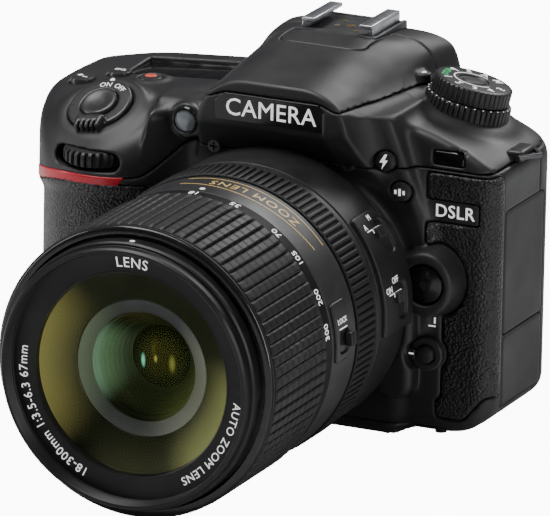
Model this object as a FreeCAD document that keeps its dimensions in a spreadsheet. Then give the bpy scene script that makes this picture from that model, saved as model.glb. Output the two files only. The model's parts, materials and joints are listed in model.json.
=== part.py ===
import FreeCAD, Part
import os
import re

# A digital single-lens reflex camera with a wide-range zoom lens.
#
# Frame: origin at the mouth of the tripod socket, on the base plane.
# +X is to the right of someone facing the lens, +Y runs from the lens to the back, +Z is up.
# Lengths are in millimetres.

Vector = FreeCAD.Vector
Rotation = FreeCAD.Rotation
Placement = FreeCAD.Placement

DIMENSIONS = {
    # body casing
    "grip_side": -77.0,        # outer face beside the hand grip
    "body_side": 58.5,         # outer face beside the connector doors
    "body_front": -19.2,       # front wall beside the lens
    "grip_front": -35.0,       # front wall of the hand grip
    "grip_inner": -45.0,       # where the grip meets the front wall
    "body_back": 28.0,         # rear wall
    "cover_split": 10.0,       # joint between front and rear covers
    "base_plate": 3.0,         # thickness of the bottom cover
    "shell_top": 64.0,         # joint between the covers and the top cover
    "deck_top": 80.0,          # upper face of the shoulders
    "deck_skin": 4.0,          # thickness of the shoulder deck
    "wall": 2.0,               # casing wall
    "back_wall": 3.0,          # rear casing wall
    "corner": 6.0,             # plan rounding of the casing
    "rubber": 1.2,             # thickness of the textured covering
    "slip": 0.1,               # gap around a moving or fitted piece
    # viewfinder housing
    "hump_foot": 31.0,         # half width where it meets the shoulders
    "hump_brow": 19.0,         # half width under the flash head
    "hump_top": 94.0,
    "hump_front": -35.6,
    "brow_base": 84.0,         # underside of the overhanging brow
    "shoe_base": 99.5,
    "shoe_half": 10.3,         # half width over the accessory shoe rails
    "shoe_front": 5.6,
    "shoe_back": 23.6,
    # tripod socket, a 1/4 inch screw
    "socket_radius": 3.175,
    "socket_depth": 6.35,
    # lens
    "axis_height": 39.5,
    "flange": -26.5,           # front face of the lens mount
    "throat": 22.0,
    "mount_radius": 30.0,
    "sleeve_inner": 34.6,      # fixed sleeve that the inner barrel slides in
    "sleeve_outer": 36.2,
    "barrel_radius": 38.5,
    "focus_radius": 39.0,
    "zoom_radius": 39.2,
    "running": 0.05,           # radial clearance of the turning rings
    "focus_start": 25.5,       # distances in front of the flange
    "focus_end": 38.0,
    "zoom_start": 53.5,
    "zoom_end": 91.4,
    "lens_length": 99.0,
    "filter_radius": 33.5,
    "glass_radius": 27.0,
    # dials and buttons
    "mode_radius": 10.7,
    "mode_height": 4.5,
    "release_radius": 11.7,
    "release_height": 4.7,
    "post_radius": 3.0,
    "front_dial_radius": 8.6,
    "back_dial_radius": 11.5,
    "command_height": 4.8,
    "shutter_radius": 5.05,
    "switch_radius": 9.0,
    "switch_height": 2.7,
    "small_button": 3.2,
    "button_rise": 1.5,
}

doc = FreeCAD.newDocument("camera")
sheet = doc.addObject("Spreadsheet::Sheet", "dims")
sub_parts = []


def fill_sheet():
    """Puts every driving dimension in a cell of its own, named by its alias."""
    for row, (name, value) in enumerate(DIMENSIONS.items(), start=1):
        sheet.set(f"A{row}", name)
        sheet.set(f"B{row}", str(value))
        sheet.setAlias(f"B{row}", name)
    doc.recompute()


def cell(name):
    """The number that a cell holds."""
    return float(getattr(sheet, name))


def linked(size):
    """Turns a size, a number or a formula of cell names, into an expression."""
    return re.sub(r"[a-z][a-z_]+", lambda found: "dims." + found.group(0), str(size))


def difference(span):
    return f"({linked(span[1])}) - ({linked(span[0])})"


def set_base(piece, x, y, z):
    for key, value in zip("xyz", (x, y, z)):
        piece.setExpression(f"Placement.Base.{key}", linked(value))


def box(x, y, z):
    """A block between two limits along each axis."""
    piece = doc.addObject("Part::Box", "block")
    piece.setExpression("Length", difference(x))
    piece.setExpression("Width", difference(y))
    piece.setExpression("Height", difference(z))
    set_base(piece, x[0], y[0], z[0])
    return piece


TURNS = {
    "x": Rotation(Vector(0, 1, 0), 90),
    "y": Rotation(Vector(1, 0, 0), -90),
    "z": Rotation(),
}


def along(piece, axis, centre, start):
    """Places a turned piece so that it starts at a distance along an axis."""
    piece.Placement = Placement(Vector(), TURNS[axis])
    first, second = centre
    if axis == "x":
        set_base(piece, start, first, second)
    elif axis == "y":
        set_base(piece, first, start, second)
    else:
        set_base(piece, first, second, start)
    return piece


def rod(axis, centre, span, radius):
    """A cylinder along an axis, between two limits."""
    piece = doc.addObject("Part::Cylinder", "rod")
    piece.setExpression("Radius", linked(radius))
    piece.setExpression("Height", difference(span))
    return along(piece, axis, centre, span[0])


def cone(axis, centre, span, first_radius, last_radius):
    piece = doc.addObject("Part::Cone", "cone")
    piece.setExpression("Radius1", linked(first_radius))
    piece.setExpression("Radius2", linked(last_radius))
    piece.setExpression("Height", difference(span))
    return along(piece, axis, centre, span[0])


def tilted_rod(origin, direction, span, radius):
    """A cylinder along a slanting direction, with its span measured from an origin."""
    piece = doc.addObject("Part::Cylinder", "tilted_rod")
    piece.setExpression("Radius", linked(radius))
    piece.Height = span[1] - span[0]
    turn = Rotation(Vector(0, 0, 1), direction)
    piece.Placement = Placement(origin + direction * span[0], turn)
    return piece


def taper(foot_x, foot_y, head_x, head_y, z):
    """A block whose lower and upper rectangles differ; both are given by their limits."""
    piece = doc.addObject("Part::Wedge", "taper")
    limits = {
        "Xmin": foot_x[0], "Xmax": foot_x[1], "X2min": head_x[0], "X2max": head_x[1],
        "Zmin": f"-({foot_y[1]})", "Zmax": f"-({foot_y[0]})",
        "Z2min": f"-({head_y[1]})", "Z2max": f"-({head_y[0]})",
        "Ymin": z[0], "Ymax": z[1],
    }
    for name, value in limits.items():
        piece.setExpression(name, linked(value))
    piece.Placement = Placement(Vector(), Rotation(Vector(1, 0, 0), 90))
    return piece


def fuse(*pieces):
    joined = doc.addObject("Part::MultiFuse", "joined")
    joined.Shapes = list(pieces)
    joined.Refine = True
    return joined


def cut(base, *tools):
    """The base with one or more tools taken out of it."""
    remainder = doc.addObject("Part::Cut", "remainder")
    remainder.Base = base
    remainder.Tool = tools[0] if len(tools) == 1 else fuse(*tools)
    remainder.Refine = True
    return remainder


def common(first, second):
    shared = doc.addObject("Part::Common", "shared")
    shared.Base = first
    shared.Tool = second
    return shared


def group(*pieces):
    """Separate solids that belong to one node."""
    together = doc.addObject("Part::Compound", "group")
    together.Links = list(pieces)
    return together


def rounded(base, radius, wanted=lambda edge: True):
    """Rounds the edges that the test picks."""
    doc.recompute()
    fillet = doc.addObject("Part::Fillet", "rounded")
    fillet.Base = base
    edges = base.Shape.Edges
    fillet.Edges = [(n, radius, radius) for n, edge in enumerate(edges, start=1) if wanted(edge)]
    return fillet


def is_upright(edge):
    """True for a straight edge that runs along Z."""
    start, end = edge.Vertexes[0].Point, edge.Vertexes[-1].Point
    return start.distanceToPoint(end) > 1 and abs(abs(end.z - start.z) - edge.Length) < 1e-6


def name_part(label, piece):
    """Makes an object a sub-part; the label names its file."""
    piece.Label = label
    sub_parts.append(piece)
    return piece


def tube(axis, centre, span, outer, inner):
    return cut(rod(axis, centre, span, outer), rod(axis, centre, span, inner))


def lens_span(start, end):
    """Limits along Y of a stretch given by its distances in front of the flange."""
    return (f"flange - ({end})", f"flange - ({start})")


def lens_rod(start, end, radius):
    return rod("y", (0, "axis_height"), lens_span(start, end), radius)


def lens_tube(start, end, outer, inner):
    return cut(lens_rod(start, end, outer), lens_rod(start, end, inner))


def unit(x, y, z):
    return Vector(x, y, z).normalize()


# ---------------------------------------------------------------- places used by several pieces

SHUTTER_DECK = Vector(-57.1, -19.9, 78.0)      # centre of the shutter button on the sloping deck
SHUTTER_AXIS = unit(-0.13, -0.49, 0.86)        # outward normal of that deck
DIAL_TOP = Vector(39.5, 7.0, 92.0)             # centre of the mode dial's upper face
DIAL_AXIS = unit(0.21, 0.10, 0.97)
FLASH_PIVOT = (13.0, 97.8)                     # y and z of the flash hinge
MIRROR_HINGE = (5.0, 55.0)                     # y and z of the reflex mirror's hinge
RELEASE_PLACE = (41.0, 44.5)                   # x and z of the lens release button
LEVER_PLACE = (40.2, 24.0)                     # x and z of the focus mode lever
LEVER_BUTTON = 2.4                             # radius of the button in its middle
SELECTOR_PLACE = (-55.0, 46.0)                 # x and z of the multi selector
SUB_DIAL_CENTRE = (-54.6, -28.0)               # x and y
MAIN_DIAL_CENTRE = (-62.0, 18.0)               # x and y

DECK_BUTTONS = {
    "exposure_button": (-71.0, -3.0),
    "iso_button": (-63.7, 5.5),
    "movie_button": (-52.5, 1.0),
}
FRONT_BUTTONS = {
    "flash_button": (28.5, 76.5),
    "bracket_button": (32.5, 68.2),
}
SHOULDER_BACK_BUTTONS = {
    "playback_button": (43.5, 73.0),
    "delete_button": (36.0, 73.0),
}
BACK_BUTTONS = {
    "menu_button": (48.6, 58.0),
    "zoom_in_button": (48.6, 44.0),
    "zoom_out_button": (48.6, 30.0),
    "live_view_button": (-48.5, 22.0),
}
SCREW_PLACES = [(-19.5, 75.0), (19.5, 75.0)]              # x and z, on the front of the housing
BASE_SCREWS = [(-38.0, 22.0), (25.0, 22.0), (41.0, 22.0), (41.0, -13.0), (25.0, -13.0)]   # x and y


# ---------------------------------------------------------------- casing blocks

def case_block():
    """The whole casing as a solid, with rounded plan corners and a sloping shutter deck."""
    body = box(("grip_inner - 10", "body_side"), ("body_front", "body_back"), (0, "deck_top"))
    grip = box(("grip_side", "grip_inner"), ("grip_front", "body_back"), (0, "deck_top"))
    block = fuse(body, grip)
    front_corners = rounded(block, cell("corner"), lambda edge: is_upright(edge) and edge.BoundBox.YMax < 20)
    back_corners = rounded(front_corners, cell("corner") / 2,
                           lambda edge: is_upright(edge) and edge.BoundBox.YMin > cell("body_back") - 0.5)
    return cut(back_corners, slope_tool(0))


def slope_tool(depth):
    """A block that takes away everything above the shutter deck, down to a depth below it."""
    tool = doc.addObject("Part::Box", "slope_tool")
    tool.Length, tool.Width, tool.Height = 120, 120, 40
    turn = Rotation(Vector(0, 0, 1), SHUTTER_AXIS)
    corner = turn.multVec(Vector(-60, -60, -depth))
    tool.Placement = Placement(SHUTTER_DECK + corner, turn)
    return tool


def case_hollow():
    """The space inside the casing."""
    body = box(("grip_inner - 10", "body_side - wall"), ("body_front + wall", "body_back - back_wall"),
               ("base_plate", "deck_top - deck_skin"))
    grip = box(("grip_side + wall", "grip_inner - wall"), ("grip_front + wall", "body_back - back_wall"),
               ("base_plate", "deck_top - deck_skin"))
    return cut(fuse(body, grip), slope_tool(cell("deck_skin")))


def mount_opening():
    return rod("y", (0, "axis_height"), ("body_front - 12", "body_front + wall + 1"), "mount_radius + slip")


def card_opening():
    return box(("grip_side - 1", "grip_side + wall + 1"), ("2 - slip", "24 + slip"), ("14 - slip", "58 + slip"))


def port_opening():
    return box(("body_side - wall - 1", "body_side + 1"), ("-13 - slip", "13 + slip"), ("9 - slip", "63 + slip"))


# ---------------------------------------------------------------- static pieces of the body

def front_cover(block, hollow):
    """Front shell with the lens mount boss, the release boss and the lever boss."""
    region = box((-90, 70), (-60, "cover_split"), ("base_plate", "shell_top"))
    mount_boss = rod("y", (0, "axis_height"), ("body_front - 5.8", "body_front + 0.5"), "mount_radius + 4")
    inside_height = box((-40, 40), (-60, 0), ("base_plate", "shell_top"))
    release_boss = rod("y", RELEASE_PLACE, ("body_front - 4.5", "body_front + 0.5"), 8.5)
    lever_boss = rod("y", LEVER_PLACE, ("body_front - 1.2", "body_front + 0.5"), 5.5)
    shell = cut(common(block, region), hollow)
    bossed = fuse(shell, common(mount_boss, inside_height), release_boss, lever_boss)
    release_hole = rod("y", RELEASE_PLACE, ("body_front - 6", "body_front + 3"), 5.7)
    lever_hole = rod("y", LEVER_PLACE, ("body_front - 6", "body_front + 3"), f"{LEVER_BUTTON} + slip")
    return name_part("front_cover", cut(bossed, mount_opening(), release_hole, lever_hole,
                                        card_opening(), port_opening()))


def rear_cover(block, hollow):
    """Rear shell with the screen recess, the selector recess and the button holes."""
    region = box((-90, 70), ("cover_split", 60), ("base_plate", "shell_top"))
    recess = box((-37.6, 43.6), ("body_back - 1.5", "body_back + 1"), (7.4, "shell_top + 1"))
    selector_recess = rod("y", SELECTOR_PLACE, ("body_back - 2", "body_back + 1"), 9.9)
    ok_hole = rod("y", SELECTOR_PLACE, ("body_back - 4", "body_back + 1"), "small_button + 2 * slip")
    holes = [rod("y", place, ("body_back - 4", "body_back + 1"), "small_button + slip")
             for place in BACK_BUTTONS.values()]
    shell = cut(common(block, region), hollow)
    return name_part("rear_cover", cut(shell, recess, selector_recess, ok_hole, card_opening(),
                                       port_opening(), *holes))


def bottom_cover(block, screws):
    """Base plate with the tripod socket and the opening for the battery."""
    region = box((-90, 70), (-60, 60), (0, "base_plate"))
    boss = rod("z", (0, 0), (0, 9), 7)
    socket = rod("z", (0, 0), (-1, "socket_depth"), "socket_radius")
    opening = box(("-73 - slip", "-46.5 + slip"), ("-33 - slip", "11 + slip"), (-1, "base_plate + 1"))
    plate = fuse(common(block, region), boss)
    return name_part("bottom_cover", cut(plate, socket, opening, *screws))


def housing():
    """Viewfinder housing: a tapering body, an overhanging brow and the shoe pedestal."""
    body = taper(("-hump_foot", "hump_foot"), ("body_front", "body_back"),
                 ("-hump_brow", "hump_brow"), ("hump_front + 2", "body_back"), ("shell_top", "hump_top"))
    brow = taper((-20, 20), ("hump_front", -20), ("-hump_brow", "hump_brow"), ("hump_front", -20),
                 ("brow_base", "hump_top"))
    pedestal = box((-11.9, 11.9), (4.2, "body_back + 1"), ("hump_top - 1", "shoe_base"))
    eyepiece = box((-16, 16), ("body_back - 1", "body_back + 5"), (69, 88))
    return fuse(body, brow, pedestal, eyepiece)


def housing_hollow():
    """Space for the prism, and the tunnel behind it to the eyepiece."""
    chamber = box((-17.5, 17.5), (-17, 22), ("shell_top - 1", 90.5))
    tunnel = box((-12, 12), (20, 60), (72, 85))
    return fuse(chamber, tunnel)


def dial_seat():
    """Boss and post that carry the mode dial and the release dial."""
    boss = tilted_rod(DIAL_TOP, DIAL_AXIS, (-14, -9.5), 11.2)
    post = tilted_rod(DIAL_TOP, DIAL_AXIS, (-14, -1.0), "post_radius")
    return fuse(boss, post)


def dial_slots():
    """Slots that the two command dials look out of."""
    front = box((-63.7, -45.5), (-60, -18), ("shell_top + 1.2", "shell_top + 6.8"))
    back = box((-75.5, -48.5), (5, 60), ("shell_top + 4.7", "shell_top + 10.3"))
    return fuse(front, back)


def top_cover(block, hollow, screws):
    """Top shell: shoulders, sloping shutter deck and viewfinder housing."""
    region = box((-90, 70), (-60, 60), ("shell_top", 120))
    shoulders = cut(common(block, region), hollow)
    shell = fuse(shoulders, housing(), dial_seat())
    deck_holes = [rod("z", place, ("deck_top - deck_skin - 1", "deck_top + 1"), "small_button + slip")
                  for place in DECK_BUTTONS.values()]
    front_holes = [rod("y", place, ("body_front - 20", "body_front + 5"), "small_button + slip - 0.4")
                   for place in FRONT_BUTTONS.values()]
    back_holes = [rod("y", place, ("body_back - 4", "body_back + 1"), "small_button + slip")
                  for place in SHOULDER_BACK_BUTTONS.values()]
    shutter_bore = tilted_rod(SHUTTER_DECK, SHUTTER_AXIS, (-7, 5), "shutter_radius + 0.25")
    pivot_bore = rod("x", FLASH_PIVOT, (-20, 20), "1.2 + running")
    return name_part("top_cover", cut(shell, housing_hollow(), dial_slots(), shutter_bore, pivot_bore,
                                      *deck_holes, *front_holes, *back_holes, *screws))


def front_screws():
    return [rod("y", place, (-29.5, -20), 1.7) for place in SCREW_PLACES]


def base_screws():
    return [rod("z", place, (0, "base_plate"), 1.6) for place in BASE_SCREWS]


def case_screws(screws):
    """All casing screws, each with a cross-shaped recess in its head."""
    fasteners = []
    for place, screw in zip(SCREW_PLACES, screws[:2]):
        x, z = place
        cross = fuse(box((x - 1.1, x + 1.1), (-30, -28.8), (z - 0.25, z + 0.25)),
                     box((x - 0.25, x + 0.25), (-30, -28.8), (z - 1.1, z + 1.1)))
        fasteners.append(cut(screw, cross))
    for place, screw in zip(BASE_SCREWS, screws[2:]):
        x, y = place
        cross = fuse(box((x - 1.1, x + 1.1), (y - 0.25, y + 0.25), (-1, 0.7)),
                     box((x - 0.25, x + 0.25), (y - 1.1, y + 1.1), (-1, 0.7)))
        fasteners.append(cut(screw, cross))
    name_part("case_screws", group(*fasteners))


def mount_ring():
    """Steel bayonet ring with its three lead-in notches."""
    ring = tube("y", (0, "axis_height"), ("flange", "flange + 3"), "mount_radius", "throat")
    notches = []
    for turn in (0, 120, 240):
        notch = doc.addObject("Part::Box", "notch")
        notch.Length, notch.Width, notch.Height = 8, 5, 3
        placed = Rotation(Vector(0, 1, 0), turn)
        centre = Vector(0, cell("flange") - 1, cell("axis_height"))
        notch.Placement = Placement(centre + placed.multVec(Vector(-4, 0, cell("throat") - 1)), placed)
        notches.append(notch)
    name_part("mount_ring", cut(ring, *notches))


def mirror_box():
    """Frame around the light path, open to the lens, the viewfinder and the shutter."""
    outside = box((-20, 20), (-22, 8.5), (20, 61))
    inside = box((-16, 16), (-23, 9.5), (22, 62))
    name_part("mirror_box", cut(outside, inside))


def reflex_mirror():
    """Mirror on its carrier at 45 degrees, hinged along its rear upper edge."""
    mirror = doc.addObject("Part::Box", "mirror_plate")
    mirror.Length, mirror.Width, mirror.Height = 27, 24, 1.6
    hinge = Vector(-13.5, *MIRROR_HINGE)
    turn = Rotation(Vector(1, 0, 0), -135)
    mirror.Placement = Placement(hinge, turn)
    name_part("reflex_mirror", mirror)


def shutter_curtain():
    """Focal-plane shutter blades, drawn as one ribbed curtain."""
    blades = box((-14, 14), (10, 10.8), (30, 49))
    grooves = [box((-15, 15), (10.5, 11), (z - 0.2, z + 0.2)) for z in (34.75, 39.5, 44.25)]
    name_part("shutter_curtain", cut(blades, *grooves))


def image_sensor():
    """Sensor package on its carrier plate."""
    package = box((-13.5, 13.5), (17.5, 20), (30, 49))
    carrier = box((-20, 20), (20, 21.2), (24, 56))
    name_part("image_sensor", fuse(package, carrier))


def main_board():
    """Main circuit board with its largest chips."""
    board = box((-38, 44), (22.4, 23.6), (8, 60))
    chips = [box((x, x + 12), (21.4, 22.4), (z, z + 10)) for x, z in ((-34, 12), (28, 12), (28, 40), (-36, 40))]
    name_part("main_board", fuse(board, *chips))


def battery():
    """Rechargeable battery standing in the grip."""
    name_part("battery", rounded(box((-70, -49.5), (-31, 9), (4, 60)), 1.5, is_upright))


def viewfinder_prism():
    """Five-sided glass prism above the mirror box."""
    outline = [(-15, 65), (13, 65), (15, 80), (4, 90), (-13, 82)]
    points = [Vector(-16, y, z) for y, z in outline]
    wire = Part.makePolygon(points + points[:1])
    prism = doc.addObject("Part::Feature", "prism")
    prism.Shape = Part.Face(wire).extrude(Vector(32, 0, 0))
    name_part("viewfinder_prism", prism)


def grip_rubber():
    """Textured covering on the front of the grip."""
    name_part("grip_rubber", box((-71, -51), ("grip_front - rubber", "grip_front"), (4, 60)))


def grip_accent():
    """Coloured strip along the upper edge of the grip covering."""
    name_part("grip_accent", box((-71, -51), ("grip_front - rubber", "grip_front"), (60.1, 62.6)))


def side_rubber():
    """Textured covering beside the lens, cut around the release and lever bosses."""
    sheet_piece = box((42, 52), ("body_front - rubber", "body_front"), (9, 60))
    release_gap = rod("y", RELEASE_PLACE, (-40, 0), 8.6)
    lever_gap = rod("y", LEVER_PLACE, (-40, 0), 5.6)
    name_part("side_rubber", cut(sheet_piece, release_gap, lever_gap))


def name_plate():
    """Blank six-sided plate on the brow."""
    half, low, shoulder, high = 16.3, 84.6, 89.2, 93.4
    outline = [(-half, low), (half, low), (half, shoulder), (half - 4.4, high), (4.4 - half, high), (-half, shoulder)]
    front = cell("hump_front")
    points = [Vector(x, front - 0.6, z) for x, z in outline]
    plate = doc.addObject("Part::Feature", "plate")
    plate.Shape = Part.Face(Part.makePolygon(points + points[:1])).extrude(Vector(0, 0.6, 0))
    name_part("name_plate", plate)


def hot_shoe():
    """Accessory shoe with inward rails; the slot is 18.7 mm wide between its walls."""
    outside = box(("-shoe_half", "shoe_half"), ("shoe_front", "shoe_back"), ("shoe_base", "shoe_base + 4"))
    slot = box((-9.35, 9.35), ("shoe_front + 1.2", "shoe_back + 1"), ("shoe_base + 0.8", "shoe_base + 3"))
    mouth = box((-6.3, 6.3), ("shoe_front + 2.5", "shoe_back + 1"), ("shoe_base + 0.8", "shoe_base + 5"))
    name_part("hot_shoe", cut(outside, slot, mouth))


def strap_lugs():
    """One steel strap eyelet on each side."""
    sides = (("body_side", "body_side + 4"), ("grip_side - 4", "grip_side"))
    lugs = []
    for side in sides:
        lug = box(side, (-6, 6), (74, 78))
        if side[0] == "body_side":
            opening = box(("body_side + 0.8", "body_side + 2.6"), (-4.4, 4.4), (70, 80))
        else:
            opening = box(("grip_side - 2.6", "grip_side - 0.8"), (-4.4, 4.4), (70, 80))
        lugs.append(cut(lug, opening))
    name_part("strap_lugs", group(*lugs))


def eyecup():
    """Rubber eyecup around the eyepiece."""
    outside = rounded(box((-18.5, 18.5), ("body_back + 5", "body_back + 9.5"), (68.6, 90)), 2.0)
    opening = box((-12, 12), ("body_back + 4", "body_back + 11"), (72, 85))
    name_part("eyecup", cut(outside, opening))


# ---------------------------------------------------------------- moving pieces of the body

def flash_head():
    """Pop-up flash: a sloping cap with two arms that reach back to the hinge."""
    cap = taper((-19.5, 19.5), (-35.5, 3.5), (-11.5, 11.5), (-21, 3.5), ("hump_top + 0.2", 100.6))
    lamp_room = box((-14, 14), (-30, -8), ("hump_top - 1", "hump_top + 2.5"))
    arms = []
    for side in (-1, 1):
        limits = sorted((side * 12.5, side * 16.5))
        arm = box(limits, (-1, FLASH_PIVOT[0]), (FLASH_PIVOT[1] - 2.4, FLASH_PIVOT[1] + 2.4))
        knuckle = rod("x", FLASH_PIVOT, limits, 2.4)
        pin = rod("x", FLASH_PIVOT, sorted((side * 9.5, side * 12.6)), 1.2)
        arms += [arm, knuckle, pin]
    name_part("flash_head", cut(fuse(cap, *arms), lamp_room))


def shutter_button():
    """Shutter release with a dished top."""
    stem = tilted_rod(SHUTTER_DECK, SHUTTER_AXIS, (-3.5, 3.2), "shutter_radius")
    softened = rounded(stem, 0.7, lambda edge: edge.CenterOfMass.z > SHUTTER_DECK.z)
    dish = doc.addObject("Part::Sphere", "dish")
    dish.Radius = 22
    dish.Placement.Base = SHUTTER_DECK + SHUTTER_AXIS * (3.2 + 22 - 0.4)
    name_part("shutter_button", cut(softened, dish))


def power_switch():
    """Ring around the shutter button, with a thumb lever."""
    ring = tilted_rod(SHUTTER_DECK, SHUTTER_AXIS, (0.15, 0.15 + cell("switch_height")), "switch_radius")
    lever = doc.addObject("Part::Box", "lever")
    lever.Length, lever.Width, lever.Height = 7, 5, 2.4
    turn = Rotation(Vector(0, 0, 1), SHUTTER_AXIS)
    lever.Placement = Placement(SHUTTER_DECK + turn.multVec(Vector(-8.5, -10.3, 0.3)), turn)
    hole = tilted_rod(SHUTTER_DECK, SHUTTER_AXIS, (-1, 4), "shutter_radius + 0.25")
    name_part("power_switch", cut(fuse(ring, lever), hole))


def deck_buttons():
    """Round buttons on the shoulder behind the shutter."""
    for label, place in DECK_BUTTONS.items():
        stem = rod("z", place, ("deck_top - deck_skin", "deck_top + button_rise"), "small_button")
        name_part(label, rounded(stem, 0.5, lambda edge: edge.CenterOfMass.z > cell("deck_top")))


def front_buttons():
    """Round buttons between the housing and the lens."""
    for label, place in FRONT_BUTTONS.items():
        stem = rod("y", place, ("body_front - button_rise - 1", "body_front + 3"), "small_button - 0.4")
        name_part(label, rounded(stem, 0.5, lambda edge: edge.CenterOfMass.y < cell("body_front")))


def back_buttons():
    """Round buttons on the back of the camera."""
    for label, place in {**SHOULDER_BACK_BUTTONS, **BACK_BUTTONS}.items():
        stem = rod("y", place, ("body_back - 3", "body_back + button_rise"), "small_button")
        name_part(label, rounded(stem, 0.5, lambda edge: edge.CenterOfMass.y > cell("body_back")))


def mode_dial():
    """Exposure mode dial with a knurled rim, turning on the post."""
    height = cell("mode_height")
    disc = tilted_rod(DIAL_TOP, DIAL_AXIS, (-height, 0), "mode_radius")
    softened = rounded(disc, 0.5)
    bore = tilted_rod(DIAL_TOP, DIAL_AXIS, (-height - 1, -0.8), "post_radius + running")
    name_part("mode_dial", cut(softened, bore))


def release_dial():
    """Drive mode dial below the mode dial."""
    upper = -cell("mode_height") - 0.15
    lower = upper - cell("release_height")
    disc = rounded(tilted_rod(DIAL_TOP, DIAL_AXIS, (lower, upper), "release_radius"), 0.4)
    bore = tilted_rod(DIAL_TOP, DIAL_AXIS, (lower - 1, upper + 1), "post_radius + running")
    name_part("release_dial", cut(disc, bore))


def command_dials():
    """The front and rear command dials, discs that show through slots."""
    front = rod("z", SUB_DIAL_CENTRE, ("shell_top + 1.5", "shell_top + 1.5 + command_height"),
                "front_dial_radius")
    back = rod("z", MAIN_DIAL_CENTRE, ("shell_top + 5", "shell_top + 5 + command_height"), "back_dial_radius")
    name_part("sub_command_dial", rounded(front, 0.4))
    name_part("main_command_dial", rounded(back, 0.4))


def lens_release_button():
    stem = rod("y", RELEASE_PLACE, ("body_front - 6.3", "body_front"), 5.5)
    name_part("lens_release_button", rounded(stem, 0.8, lambda edge: edge.CenterOfMass.y < -22))


def focus_mode_lever():
    """Ring lever that chooses the focus mode, on its boss beside the lens."""
    x, z = LEVER_PLACE
    ring = rod("y", LEVER_PLACE, ("body_front - 3.4", "body_front - 1.3"), 4.6)
    handle = box((x - 5.8, x), ("body_front - 3.4", "body_front - 1.3"), (z - 1.5, z + 1.5))
    hole = rod("y", LEVER_PLACE, (-40, 0), f"{LEVER_BUTTON} + slip")
    name_part("focus_mode_lever", cut(fuse(ring, handle), hole))


def focus_mode_button():
    stem = rod("y", LEVER_PLACE, ("body_front - 4.4", "body_front + 1.5"), LEVER_BUTTON)
    name_part("focus_mode_button", rounded(stem, 0.5, lambda edge: edge.CenterOfMass.y < cell("body_front")))


def doors():
    """Battery door, card door and the two connector doors."""
    name_part("battery_door", box((-73, -46.5), (-33, 11), (0, "base_plate")))
    name_part("card_door", box(("grip_side", "grip_side + wall - 0.2"), (2, 24), (14, 58)))
    name_part("upper_port_door", box(("body_side - wall + slip", "body_side"), (-13, 13), (29.1, 63)))
    name_part("lower_port_door", box(("body_side - wall + slip", "body_side"), (-13, 13), (9, 28.9)))


def screen_bracket():
    """Carrier frame of the tilting screen, hinged at the bottom of its recess."""
    frame = box((-30, 36), ("body_back - 1.3", "body_back + 0.6"), (9, 63.3))
    window = box((-20, 26), ("body_back - 3", "body_back + 3"), (18, 52))
    name_part("screen_bracket", cut(frame, window))


def screen_panel():
    """Monitor, hinged to the top of its carrier."""
    name_part("screen_panel", rounded(box((-37, 43), ("body_back + 0.8", "body_back + 5.2"), (8, 63.5)), 0.9,
                                      lambda edge: edge.CenterOfMass.y > cell("body_back") + 1))


def multi_selector():
    """Eight-way rocker with a hole for the centre button."""
    disc = rounded(rod("y", SELECTOR_PLACE, ("body_back - 1", "body_back + 2.2"), 9.4), 0.8,
                   lambda edge: edge.CenterOfMass.y > cell("body_back"))
    hole = rod("y", SELECTOR_PLACE, (0, 60), "small_button + 0.3")
    name_part("multi_selector", cut(disc, hole))


def ok_button():
    stem = rod("y", SELECTOR_PLACE, ("body_back - 2.8", "body_back + 2.6"), "small_button - slip")
    name_part("ok_button", rounded(stem, 0.5, lambda edge: edge.CenterOfMass.y > cell("body_back")))


# ---------------------------------------------------------------- lens

def switch_sweep(start, end, inner, outer, first_angle, last_angle):
    """Part of a tube between two angles, measured from +X towards +Z."""
    sector = doc.addObject("Part::Cylinder", "sector")
    sector.setExpression("Radius", linked(outer))
    sector.Height = end - start
    sector.Angle = last_angle - first_angle
    turn = Rotation(Vector(1, 0, 0), 90).multiply(Rotation(Vector(0, 0, 1), first_angle))
    sector.Placement = Placement(Vector(0, cell("flange") - start, cell("axis_height")), turn)
    return cut(sector, lens_rod(start - 1, end + 1, inner))


# Each slide: distance in front of the flange, angle round the axis, foot radius,
# and the length along the barrel and across it.
LOCK_SLOT = (45.5, 3.0, 37.2, 7.0, 3.0)
FOCUS_SLOT = (13.0, 31.0, 38.0, 3.0, 7.0)
STABILISER_SLOT = (13.0, 5.0, 38.0, 3.0, 7.0)
SLIDE_TRAVEL = 3.0
SLIDE_CLEARANCE = 0.2
SLIDE_TOP = 40.6


def lens_barrel():
    """Fixed barrel: bayonet, rear skin with a switch pad, sleeve and index band."""
    bayonet = lens_rod(-3.8, 0.5, "throat - 0.2")
    plate = lens_rod(0, 3, "sleeve_outer")
    sleeve = lens_rod(0, 89, "sleeve_outer")
    skirt = cone("y", (0, "axis_height"), lens_span(0, 6), "barrel_radius", 32)
    skin = lens_rod(6, "focus_start - 0.2", "barrel_radius")
    band = lens_rod("focus_end + 0.2", "zoom_start - 0.2", "barrel_radius")
    pad = switch_sweep(4, 21, 36, 39.4, -6, 42)
    outside = fuse(bayonet, plate, sleeve, skirt, skin, band, pad)
    passage = fuse(lens_rod(3, 120, "sleeve_inner"), lens_rod(-5, 4, "throat - 2"))
    slots = [lens_slot(*place) for place in (LOCK_SLOT, FOCUS_SLOT, STABILISER_SLOT)]
    name_part("lens_barrel", cut(outside, passage, *slots))


def on_barrel(size, distance, angle, radius, shift=(0.0, 0.0)):
    """A block standing on the barrel at an angle; size is radial, along the axis, and across."""
    block = doc.addObject("Part::Box", "block_on_barrel")
    block.Length, block.Width, block.Height = size
    turn = Rotation(Vector(0, -1, 0), angle)
    centre = Vector(0, cell("flange") - distance, cell("axis_height"))
    local = Vector(radius, shift[0] - size[1] / 2, shift[1] - size[2] / 2)
    block.Placement = Placement(centre + turn.multVec(local), turn)
    return block


def lens_slot(distance, angle, foot, length, width):
    return on_barrel((4, length, width), distance, angle, foot)


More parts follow.
